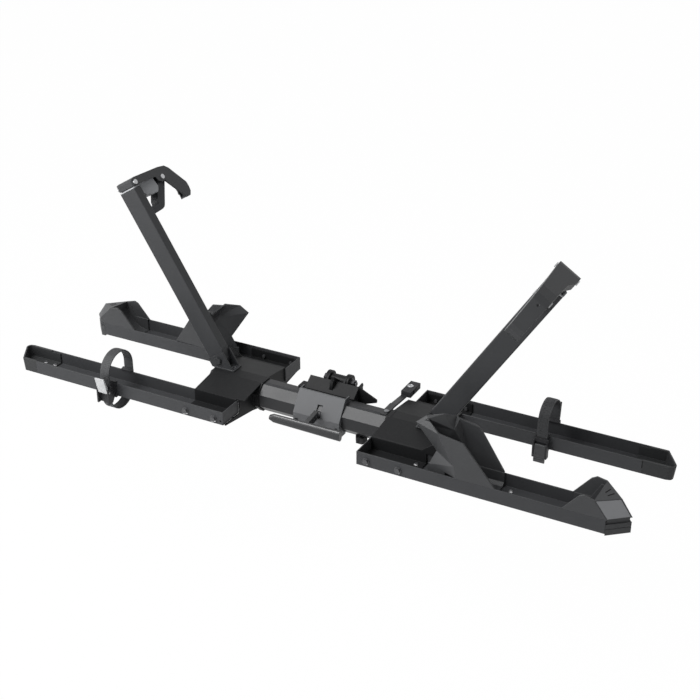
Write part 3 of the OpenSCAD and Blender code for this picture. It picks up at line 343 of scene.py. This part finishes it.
def grown(name, tree, start_mesh=None, place=None, round_edges=0.0, **values):
    """Runs a Geometry Nodes tree and keeps its result as a plain mesh at the origin."""
    seed = in_scene(name + "_seed", start_mesh or bpy.data.meshes.new(name))
    modifier = seed.modifiers.new("grow", "NODES")
    modifier.node_group = tree
    for item in tree.interface.items_tree:
        if item.in_out == "INPUT" and item.name in values:
            modifier[item.identifier] = values[item.name]
    graph = bpy.context.evaluated_depsgraph_get()
    mesh = bpy.data.meshes.new_from_object(seed.evaluated_get(graph), depsgraph=graph)
    bpy.data.objects.remove(seed)
    if place is not None:
        mesh.transform(place)
    if round_edges:
        shape = bmesh.new()
        shape.from_mesh(mesh)
        bmesh.ops.bevel(
            shape,
            geom=shape.edges[:],
            offset=round_edges,
            segments=2,
            affect="EDGES",
        )
        shape.to_mesh(mesh)
        shape.free()
    return in_scene(name, mesh)


ridge_count, ridge_pitch, ridge_width, ridge_height = 6, 0.0019, 0.0009, 0.0004
first_ridge_y, ridge_z = -14.2, 34.95
for name, x0, x1 in (("beam_ridges_right", 67, 145), ("beam_ridges_left", -161, -67)):
    ridges = grown(
        name,
        ribs,
        Count=ridge_count,
        First=at((x0 + x1) / 2, first_ridge_y, ridge_z),
        Step=Vector((0, ridge_pitch, 0)),
        Size=Vector(((x1 - x0) / 1000, ridge_width, ridge_height)),
        Material=ridge_highlight_paint,
    )
    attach(ridges, "rack")

# Beam ends
# Caps moulded in black plastic. Each has a disc outside and a plug that is pressed into the
# open end of the beam.
black_plastic = coated("black_plastic", (0.016, 0.016, 0.018), 0.52, 2400, 0.16, 0.06)
finish_nodes(black_plastic, "beam_end_caps")

# Centre cover, handle and tilt hinge
# Folded steel cover in a lighter grey over the hinge lock, with two screws, and the T bar
# that draws the lock rod. Behind the beam the saddle's plates hang on the hitch bracket, and
# short welds join them to the sheet over the beam.
cover_paint = coated("cover_paint", (0.087, 0.089, 0.093), 0.36, 1000, 0.07, 0.05)
handle_paint = coated("handle_paint", (0.017, 0.0175, 0.019), 0.2, 1100, 0.05, 0.03, 0.45)
hinge_paint = coated("hinge_paint", (0.009, 0.0092, 0.0098), 0.4, 950, 0.08, 0.05, 0.12)
finish_nodes(cover_paint, "centre_cover")
finish_nodes(handle_paint, "pull_handle")
finish_nodes(hinge_paint, "saddle", "tilt_bracket")


def zinc(name, colour, roughness):
    """Zinc on steel, with fine drawn streaks and a blotchy passivation."""
    material = bpy.data.materials.new(name)
    material.use_nodes = True
    tree = material.node_tree
    nodes, links = tree.nodes, tree.links
    shader = nodes["Principled BSDF"]
    shader.inputs["Metallic"].default_value = 0.85
    place = nodes.new("ShaderNodeTexCoord")
    drawn = nodes.new("ShaderNodeMapping")
    drawn.inputs["Scale"].default_value = (60, 60, 900)
    links.new(place.outputs["Object"], drawn.inputs["Vector"])
    streak = nodes.new("ShaderNodeTexNoise")
    streak.inputs["Scale"].default_value = 3
    streak.inputs["Detail"].default_value = 4
    links.new(drawn.outputs[0], streak.inputs["Vector"])
    blotch = nodes.new("ShaderNodeTexNoise")
    blotch.inputs["Scale"].default_value = 160
    links.new(place.outputs["Object"], blotch.inputs["Vector"])
    tone = nodes.new("ShaderNodeValToRGB")
    tone.color_ramp.elements[0].position = 0.3
    tone.color_ramp.elements[0].color = (*[c * 0.75 for c in colour], 1)
    tone.color_ramp.elements[1].position = 0.7
    tone.color_ramp.elements[1].color = (*colour, 1)
    links.new(blotch.outputs["Fac"], tone.inputs["Fac"])
    links.new(tone.outputs["Color"], shader.inputs["Base Color"])
    rough = nodes.new("ShaderNodeMapRange")
    rough.inputs["To Min"].default_value = roughness - 0.08
    rough.inputs["To Max"].default_value = roughness + 0.12
    links.new(streak.outputs["Fac"], rough.inputs["Value"])
    links.new(rough.outputs[0], shader.inputs["Roughness"])
    bump = nodes.new("ShaderNodeBump")
    bump.inputs["Strength"].default_value = 0.1
    bump.inputs["Distance"].default_value = 0.0003
    links.new(streak.outputs["Fac"], bump.inputs["Height"])
    links.new(bump.outputs[0], shader.inputs["Normal"])
    return material


dark_zinc = zinc("dark_zinc", (0.045, 0.045, 0.048), 0.42)
finish_nodes(dark_zinc, "cover_bolts", "tilt_bolt", "tilt_nut")


def beads_on_a_path():
    """Small round drops along a path, as the ripples of a weld."""
    tree, given = begin_tree(
        "beads on a path",
        ("Spacing", "NodeSocketFloat", 0.002),
        ("Radius", "NodeSocketFloat", 0.002),
    )
    nodes, links = tree.nodes, tree.links
    path = nodes.new("GeometryNodeMeshToCurve")
    links.new(given.outputs["Geometry"], path.inputs["Mesh"])
    even = nodes.new("GeometryNodeResampleCurve")
    even.mode = "LENGTH"
    links.new(path.outputs[0], even.inputs["Curve"])
    links.new(given.outputs["Spacing"], even.inputs["Length"])
    drop = nodes.new("GeometryNodeMeshUVSphere")
    drop.inputs["Segments"].default_value = 10
    drop.inputs["Rings"].default_value = 6
    links.new(given.outputs["Radius"], drop.inputs["Radius"])
    smooth = nodes.new("GeometryNodeSetShadeSmooth")
    links.new(drop.outputs["Mesh"], smooth.inputs[0])
    copies = nodes.new("GeometryNodeInstanceOnPoints")
    links.new(even.outputs[0], copies.inputs["Points"])
    links.new(smooth.outputs[0], copies.inputs["Instance"])
    return end_tree(tree, given, copies)


def path_mesh(name, *lines):
    """Polylines as a mesh of loose edges, for a tree that follows them."""
    points, edges = [], []
    for line in lines:
        first = len(points)
        points += [tuple(p) for p in line]
        edges += [(first + k, first + k + 1) for k in range(len(line) - 1)]
    mesh = bpy.data.meshes.new(name)
    mesh.from_pydata(points, edges, [])
    return mesh


plate_faces = (20.3, 25.3)
weld_top, weld_foot = (40, 40), (38.6, 18)
weld_lines = [
    [at(sign * x, *weld_top), at(sign * x, *weld_foot)] for sign in (1, -1) for x in plate_faces
]
saddle_welds = grown(
    "saddle_welds",
    beads_on_a_path(),
    path_mesh("saddle_weld_paths", *weld_lines),
    Spacing=0.0022,
    Radius=0.0024,
    Material=hinge_paint,
)
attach(saddle_welds, "rack")

# Lock rod and its return spring
# Zinc plated rod through the beam, and a steel coil round it, pressed between the beam's
# wall and the rod's collar.
bright_zinc = zinc("bright_zinc", (0.5, 0.505, 0.515), 0.3)
finish_nodes(bright_zinc, "lock_rod")
rod_height = 8
coil_turns, coil_radius, coil_wire = 9, 6.4, 0.9
coil_start, coil_end = -28.1, -10.0
coil_steps = 20 * coil_turns
coil_points = []
for k in range(coil_steps + 1):
    turn = 2 * math.pi * k * coil_turns / coil_steps
    coil_points.append(
        at(
            coil_radius * math.cos(turn),
            coil_start + (coil_end - coil_start) * k / coil_steps,
            rod_height + coil_radius * math.sin(turn),
        )
    )


def tube_along(name, points, radius, closed=False):
    """A round bar of bright zinc along points, with closed ends, as one mesh."""
    curve = bpy.data.curves.new(name, "CURVE")
    curve.dimensions = "3D"
    curve.bevel_depth = radius
    curve.bevel_resolution = 2
    curve.use_fill_caps = True
    spline = curve.splines.new("POLY")
    spline.points.add(len(points) - 1)
    for place, p in zip(spline.points, points):
        place.co = (*p, 1)
    spline.use_cyclic_u = closed
    holder = in_scene(name + "_curve", curve)
    graph = bpy.context.evaluated_depsgraph_get()
    mesh = bpy.data.meshes.new_from_object(holder.evaluated_get(graph), depsgraph=graph)
    bpy.data.objects.remove(holder)
    for face in mesh.polygons:
        face.use_smooth = True
    mesh.materials.append(bright_zinc)
    return in_scene(name, mesh)


lock_coil = tube_along("lock_coil", coil_points, coil_wire / 1000)
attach(lock_coil, "rack")
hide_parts("lock_spring")

# Hand screw under the beam
# Knob moulded in black plastic with lobes, on a screw that steadies the beam. Its flat end
# carries a ring of fine grip ribs.
knob_plastic = coated("knob_plastic", (0.013, 0.013, 0.014), 0.45, 1800, 0.12, 0.03)
finish_nodes(knob_plastic, "stay_knob")
joints = {joint["name"]: joint for joint in frame["joints"]}


def pivot_of(joint):
    """Where a turning joint has its axis."""
    return Vector(joints[joint]["pos_m"])


def ring_of_ribs():
    """Upright ribs set in a ring, as the grip of a knob."""
    tree, given = begin_tree(
        "ring of ribs",
        ("Count", "NodeSocketInt", 24),
        ("Ring radius", "NodeSocketFloat", 0.01),
        ("Rib radius", "NodeSocketFloat", 0.0005),
        ("Rib height", "NodeSocketFloat", 0.01),
    )
    nodes, links = tree.nodes, tree.links
    ring = nodes.new("GeometryNodeMeshCircle")
    links.new(given.outputs["Count"], ring.inputs["Vertices"])
    links.new(given.outputs["Ring radius"], ring.inputs["Radius"])
    rib = nodes.new("GeometryNodeMeshCylinder")
    rib.inputs["Vertices"].default_value = 8
    links.new(given.outputs["Rib radius"], rib.inputs["Radius"])
    links.new(given.outputs["Rib height"], rib.inputs["Depth"])
    copies = nodes.new("GeometryNodeInstanceOnPoints")
    links.new(ring.outputs["Mesh"], copies.inputs["Points"])
    links.new(rib.outputs["Mesh"], copies.inputs["Instance"])
    return end_tree(tree, given, copies)


ribs_above_pivot = 0.0004
knob_ribs = grown(
    "knob_ribs",
    ring_of_ribs(),
    Count=30,
    **{"Ring radius": 0.0119, "Rib radius": 0.0006, "Rib height": 0.0165},
    Material=knob_plastic,
    place=Matrix.Translation(pivot_of("knob_turn") + Vector((0, 0, ribs_above_pivot))),
)
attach(knob_ribs, "knob")

# Cable lock
# Coated bar behind the beam with a moulded block at its end. A key barrel of turned steel
# sits in the block's top, with a rim pressed round the keyway.
finish_nodes(frame_paint, "cable_bar")
finish_nodes(black_plastic, "cable_block")
finish_nodes(bright_zinc, "cable_lock_barrel")
rim_radius, rim_wire, rim_height, rim_steps = 0.0066, 0.0005, 0.0048, 40
rim_turns = [2 * math.pi * k / rim_steps for k in range(rim_steps)]
rim = [
    pivot_of("key_turn") + Vector((rim_radius * math.cos(a), rim_radius * math.sin(a), rim_height))
    for a in rim_turns
]
barrel_rim = tube_along("barrel_rim", rim, rim_wire, closed=True)
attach(barrel_rim, "key_barrel")

# Bridges and trays
# Folded sheets over the beam carry two folded trays on each side, held by bolts and floor
# screws. Bridges have a deep black coat and trays a lighter one. The rear tray's end is a
# moulded cap, and a thin black strip of painted shade marks the seam where it begins.
bridge_paint = coated("bridge_paint", (0.012, 0.0123, 0.013), 0.42, 950, 0.07, 0.05, 0.1)
tray_paint = coated("tray_paint", (0.041, 0.042, 0.0445), 0.38, 950, 0.07, 0.05, 0.18)
cap_plastic = coated("cap_plastic", (0.024, 0.025, 0.026), 0.48, 2200, 0.16, 0.05)
# Painted shade: near black for the shadow inside seams and vent slots.
painted_shade_black = coated("painted_shade_black", (0.006, 0.006, 0.006), 0.6, 900, 0.03, 0.0, 0.1)
screw_top_z = at(0, 0, -2.1).z


def tray_fasteners():
    """Dark coated bolts in the walls and bright screws on the floors, told apart by height."""
    material = bpy.data.materials.new("tray_fasteners")
    material.use_nodes = True
    tree = material.node_tree
    nodes, links = tree.nodes, tree.links
    shader = nodes["Principled BSDF"]
    place = nodes.new("ShaderNodeTexCoord")
    split = nodes.new("ShaderNodeSeparateXYZ")
    links.new(place.outputs["Object"], split.inputs[0])
    low = nodes.new("ShaderNodeMath")
    low.operation = "LESS_THAN"
    low.inputs[1].default_value = screw_top_z
    links.new(split.outputs["Z"], low.inputs[0])
    grit = nodes.new("ShaderNodeTexNoise")
    grit.inputs["Scale"].default_value = 700
    links.new(place.outputs["Object"], grit.inputs["Vector"])
    dark = nodes.new("ShaderNodeValToRGB")
    dark.color_ramp.elements[0].color = (0.03, 0.03, 0.032, 1)
    dark.color_ramp.elements[1].color = (0.075, 0.076, 0.08, 1)
    links.new(grit.outputs["Fac"], dark.inputs["Fac"])
    tone = nodes.new("ShaderNodeMix")
    tone.data_type = "RGBA"
    tone.inputs["B"].default_value = (0.62, 0.62, 0.63, 1)
    links.new(low.outputs[0], tone.inputs["Factor"])
    links.new(dark.outputs["Color"], tone.inputs["A"])
    links.new(tone.outputs["Result"], shader.inputs["Base Color"])
    links.new(low.outputs[0], shader.inputs["Metallic"])
    rough = nodes.new("ShaderNodeMapRange")
    rough.inputs["To Min"].default_value = 0.28
    rough.inputs["To Max"].default_value = 0.5
    links.new(grit.outputs["Fac"], rough.inputs["Value"])
    links.new(rough.outputs[0], shader.inputs["Roughness"])
    return material


def turned(sign, *points):
    """Points of a side module, turned half round for the left side."""
    return [at(sign * x, sign * y, z) for x, y, z in points]


def slabs(name, finish, *slab_list):
    """Thin plates, each from its corner points and how far it stands out, in metres."""
    sunk = 0.0004
    shape = bmesh.new()
    for corners, standing_out in slab_list:
        normal = (corners[1] - corners[0]).cross(corners[2] - corners[0]).normalized()
        low = [shape.verts.new(p - normal * sunk) for p in corners]
        high = [shape.verts.new(p + normal * standing_out) for p in corners]
        shape.faces.new(low[::-1])
        shape.faces.new(high)
        for k in range(len(corners)):
            after = (k + 1) % len(corners)
            shape.faces.new((low[k], low[after], high[after], high[k]))
    mesh = bpy.data.meshes.new(name)
    shape.to_mesh(mesh)
    shape.free()
    mesh.materials.append(finish)
    return in_scene(name, mesh)


fastener_finish = tray_fasteners()
# Painted shade: a thin black strip on the tray's inner wall where the cap meets it.
seam_x, seam_width, seam_y, seam_foot, seam_top = 731.4, 1.4, 92.9, 5, 24
seam_out = 0.0003
for side, sign in (("right", 1), ("left", -1)):
    finish_nodes(bridge_paint, f"{side}_bridge")
    finish_nodes(tray_paint, f"{side}_wheel_tray", f"{side}_strap_tray")
    finish_nodes(cap_plastic, f"{side}_tray_cap")
    finish_nodes(fastener_finish, f"{side}_tray_bolts")
    seam = turned(
        sign,
        (seam_x, seam_y, seam_top),
        (seam_x, seam_y, seam_foot),
        (seam_x + seam_width, seam_y, seam_foot),
        (seam_x + seam_width, seam_y, seam_top),
    )
    cap_seam_shade = slabs(f"{side}_cap_seam_shade", painted_shade_black, (seam, seam_out))
    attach(cap_seam_shade, "rack")

# Wheel cups and scoops
# Stops for the front wheel, moulded in grey plastic and set into the tray. On each scoop's
# sloping front a light grey slab is a painted highlight, and the face behind that has two
# vent slots, drawn as black slabs of painted shade.
moulded_grey = coated("moulded_grey", (0.04, 0.041, 0.043), 0.42, 2600, 0.2, 0.06, 0.3)
# Painted highlight: this light grey stands in for the light that each scoop's sloping front
# catches.
painted_highlight_grey = coated("painted_highlight_grey", (0.21, 0.213, 0.22), 0.36, 2600, 0.1, 0.04, 0.35)
scoop_near, scoop_mid, scoop_far = -164, -128, -92
scoop_foot = 24.2
highlight_corners = ((0.04, 0.05), (0.95, 0.05), (0.95, 0.95), (0.04, 0.95))
highlight_out = 0.0008
# Painted shade: black slabs on each scoop's face stand for the shadow inside its two vent slots.
vent_places, vent_start, vent_end, vent_slant = (0.34, 0.62), 0.12, 0.4, 0.02
vent_half, vent_out = 0.0011, 0.0004


def between(corners, u, v):
    """A point of a four-cornered face, u along its first edge and v across it."""
    a, b, c, d = corners
    return a.lerp(b, u).lerp(d.lerp(c, u), v)


for side, sign in (("right", 1), ("left", -1)):
    finish_nodes(moulded_grey, f"{side}_wheel_cup", f"{side}_wheel_scoop")
    x0 = 1000 * min(abs(corner.x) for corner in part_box(f"{side}_wheel_scoop"))
    near_top = (x0 + 67, scoop_near, 63)
    mid_top = (x0 + 114, scoop_mid, 61)
    far_top = (x0 + 71, scoop_far, 72)
    near_foot = (x0 + 97, scoop_near, scoop_foot)
    mid_foot = (x0 + 140, scoop_mid, scoop_foot)
    bevel = turned(sign, near_top, near_foot, mid_foot, mid_top)
    inset = [between(bevel, u, v) for u, v in highlight_corners]
    highlight_slab = slabs(
        f"{side}_scoop_highlight",
        painted_highlight_grey,
        ([inset[0], inset[1], inset[2]], highlight_out),
        ([inset[0], inset[2], inset[3]], highlight_out),
    )
    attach(highlight_slab, "rack")
    near, mid, far = turned(sign, near_top, mid_top, far_top)
    across = (far - mid).normalized() * vent_half
    vents = []
    for along in vent_places:
        start = mid.lerp(far, along).lerp(near, vent_start)
        end = mid.lerp(far, along + vent_slant).lerp(near, vent_end)
        vents.append(([start - across, end - across, end + across, start + across], vent_out))
    slots = slabs(f"{side}_scoop_slot_shade", painted_shade_black, *vents)
    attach(slots, "rack")

# Straps and buckles
# Ladder straps of soft grey plastic with moulded teeth on the outside, each through a
# black ratchet buckle; one lever is dark and shut, the other pale and open.
strap_grey = coated("strap_grey", (0.045, 0.046, 0.048), 0.48, 1500, 0.12, 0.05)
dark_lever = coated("dark_lever", (0.03, 0.031, 0.033), 0.3, 1800, 0.08, 0.03, 0.4)
pale_lever = coated("pale_lever", (0.46, 0.465, 0.47), 0.3, 1800, 0.05, 0.02, 0.5)
buckle_plastic = coated("buckle_plastic", (0.02, 0.02, 0.022), 0.45, 2000, 0.12, 0.04)
finish_nodes(dark_lever, "right_buckle_lever")
finish_nodes(pale_lever, "left_buckle_lever")


def teeth_on_a_path():
    """Bars across a strap, square to the path that they follow."""
    tree, given = begin_tree(
        "strap teeth",
        ("Pitch", "NodeSocketFloat", 0.004),
        ("Tooth", "NodeSocketVector", (0.02, 0.0015, 0.001)),
    )
    nodes, links = tree.nodes, tree.links
    path = nodes.new("GeometryNodeMeshToCurve")
    links.new(given.outputs["Geometry"], path.inputs["Mesh"])
    even = nodes.new("GeometryNodeResampleCurve")
    even.mode = "LENGTH"
    links.new(path.outputs[0], even.inputs["Curve"])
    links.new(given.outputs["Pitch"], even.inputs["Length"])
    bar = nodes.new("GeometryNodeMeshCube")
    links.new(given.outputs["Tooth"], bar.inputs["Size"])
    tangent = nodes.new("GeometryNodeInputTangent")
    along = nodes.new("FunctionNodeAlignRotationToVector")
    along.axis = "Y"
    along.pivot_axis = "X"
    links.new(tangent.outputs[0], along.inputs["Vector"])
    copies = nodes.new("GeometryNodeInstanceOnPoints")
    links.new(even.outputs[0], copies.inputs["Points"])
    links.new(bar.outputs["Mesh"], copies.inputs["Instance"])
    links.new(along.outputs[0], copies.inputs["Rotation"])
    return end_tree(tree, given, copies)


teeth = teeth_on_a_path()
strap_x, strap_mid, strap_thick, tray_rim, loop_rise = 503, 127, 2.6, 24, 73
first_tooth_z, last_tooth_z = tray_rim + 22, tray_rim + 2
tooth_lift, leg_step, arc_steps = 0.1, 4, 24
for side, sign, loop, shift in (("right", 1, 37.7, 0.0), ("left", -1, 45.7, -7.4)):
    finish_nodes(strap_grey, f"{side}_wheel_strap")
    finish_nodes(buckle_plastic, f"{side}_buckle", f"{side}_strap_base")
    reach = loop + strap_thick + tooth_lift
    centre = tray_rim + loop_rise - loop - strap_thick
    line = [(shift + reach, z) for z in range(first_tooth_z, int(centre), leg_step)]
    line += [
        (shift + reach * math.cos(a), centre + reach * math.sin(a))
        for a in [math.pi * k / arc_steps for k in range(arc_steps + 1)]
    ]
    line += [(shift - reach, z) for z in range(int(centre) - leg_step, last_tooth_z, -leg_step)]
    path = [at(sign * strap_x, sign * strap_mid + y, z) for y, z in line]
    strap_teeth = grown(
        f"{side}_strap_teeth",
        teeth,
        path_mesh(f"{side}_strap_path", path),
        Pitch=0.0042,
        Tooth=Vector((0.019, 0.0016, 0.0011)),
        Material=strap_grey,
    )
    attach(strap_teeth, f"{side}_strap")

# Arms
# Flat coated tubes that fold on a bracket, with a pale moulded guide ring on each mouth.
# Inside are the inner tube, the toothed strip and the release rod. The brackets' flush
# screws show dark key sockets, drawn as hexagons of painted shade.
arm_paint = coated("arm_paint", (0.027, 0.028, 0.03), 0.36, 950, 0.07, 0.06)
inner_paint = coated("inner_paint", (0.035, 0.036, 0.038), 0.34, 950, 0.05, 0.05)
ring_plastic = coated("ring_plastic", (0.36, 0.365, 0.375), 0.45, 1800, 0.08, 0.03)
# Painted shade: near black for the recess of each key socket.
socket_painted_shade = coated("socket_painted_shade", (0.008, 0.008, 0.009), 0.6, 900, 0.03, 0.0)
bolt_zinc = zinc("bolt_zinc", (0.24, 0.245, 0.255), 0.38)
finish_nodes(bolt_zinc, "frame_bolts")
for side in ("right", "left"):
    finish_nodes(arm_paint, f"{side}_arm_tube", f"{side}_arm_bracket", f"{side}_arm_bolt")
    finish_nodes(inner_paint, f"{side}_inner_arm")
    finish_nodes(ring_plastic, f"{side}_arm_collar")
    finish_nodes(bright_zinc, f"{side}_ratchet_strip", f"{side}_latch_rod")


def key_socket_shade(name, points, across):
    """Dark hexagons of painted shade, for the recesses of the key sockets in flush screw heads."""
    narrowing, depth = 0.9, 0.0003
    shape = bmesh.new()
    for p in points:
        bmesh.ops.create_cone(
            shape,
            cap_ends=True,
            segments=6,
            radius1=across / 2,
            radius2=across / 2 * narrowing,
            depth=depth,
            matrix=Matrix.Translation(p),
        )
    mesh = bpy.data.meshes.new(name)
    shape.to_mesh(mesh)
    shape.free()
    mesh.materials.append(socket_painted_shade)
    return in_scene(name, mesh)


socket_below_pivot = -0.0176
socket_offsets = (-0.034, -0.01)
bracket_screws = [
    pivot_of(f"{side}_arm_fold") + Vector((sign * offset, 0, socket_below_pivot))
    for side, sign in (("right", 1), ("left", -1))
    for offset in socket_offsets
]
sockets = key_socket_shade("frame_bolt_socket_shade", bracket_screws, across=0.0062)
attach(sockets, "rack")

# Hooks
# Bent steel hooks over the front wheels, on two cross pins, with a soft grey pad behind and
# a black trigger that frees the latch. Ribs on the trigger's face keep fingers from slipping.
hook_paint = coated("hook_paint", (0.034, 0.035, 0.037), 0.34, 950, 0.06, 0.05)
pad_rubber = coated("pad_rubber", (0.33, 0.335, 0.345), 0.62, 1500, 0.2, 0.03, 0.3)
trigger_plastic = coated("trigger_plastic", (0.022, 0.023, 0.026), 0.38, 2200, 0.14, 0.04)
hook_up_arm = 0.448
hook_reach = 142
grip_ribs = 7
grip_start, grip_end = Vector((-64.2, -50.5)), Vector((-41.0, -22.0))
grip_step = (grip_end - grip_start) / (grip_ribs - 1)
grip_tilt = math.atan2(grip_step.y, -grip_step.x)


def hook_place(side):
    """The hook's own place: local X outboard, Y across the beam, Z up the arm."""
    slide = joints[f"{side}_hook_slide"]
    up = Vector(slide["axis"])
    slid_out = -slide["range_m"][0]
    return (
        Matrix.Translation(pivot_of(f"{side}_arm_fold") + up * (hook_up_arm + slid_out))
        @ Matrix.Rotation(0 if up.x > 0 else math.pi, 4, "Z")
        @ Matrix.Rotation(math.atan2(abs(up.x), up.z), 4, "Y")
    )


for side in ("right", "left"):
    finish_nodes(hook_paint, f"{side}_hook")
    finish_nodes(pad_rubber, f"{side}_hook_pad")
    finish_nodes(trigger_plastic, f"{side}_trigger")
    finish_nodes(bright_zinc, f"{side}_hook_pins")
    trigger_ribs = grown(
        f"{side}_trigger_ribs",
        ribs,
        Count=grip_ribs,
        First=Vector((0, -hook_reach - grip_start.x, grip_start.y)) / 1000,
        Step=Vector((0, -grip_step.x, grip_step.y)) / 1000,
        Size=Vector((0.021, 0.0012, 0.0014)),
        Turn=Matrix.Rotation(grip_tilt, 3, "X").to_euler(),
        Material=trigger_plastic,
        place=hook_place(side),
        round_edges=0.0003,
    )
    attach(trigger_ribs, f"{side}_grip")
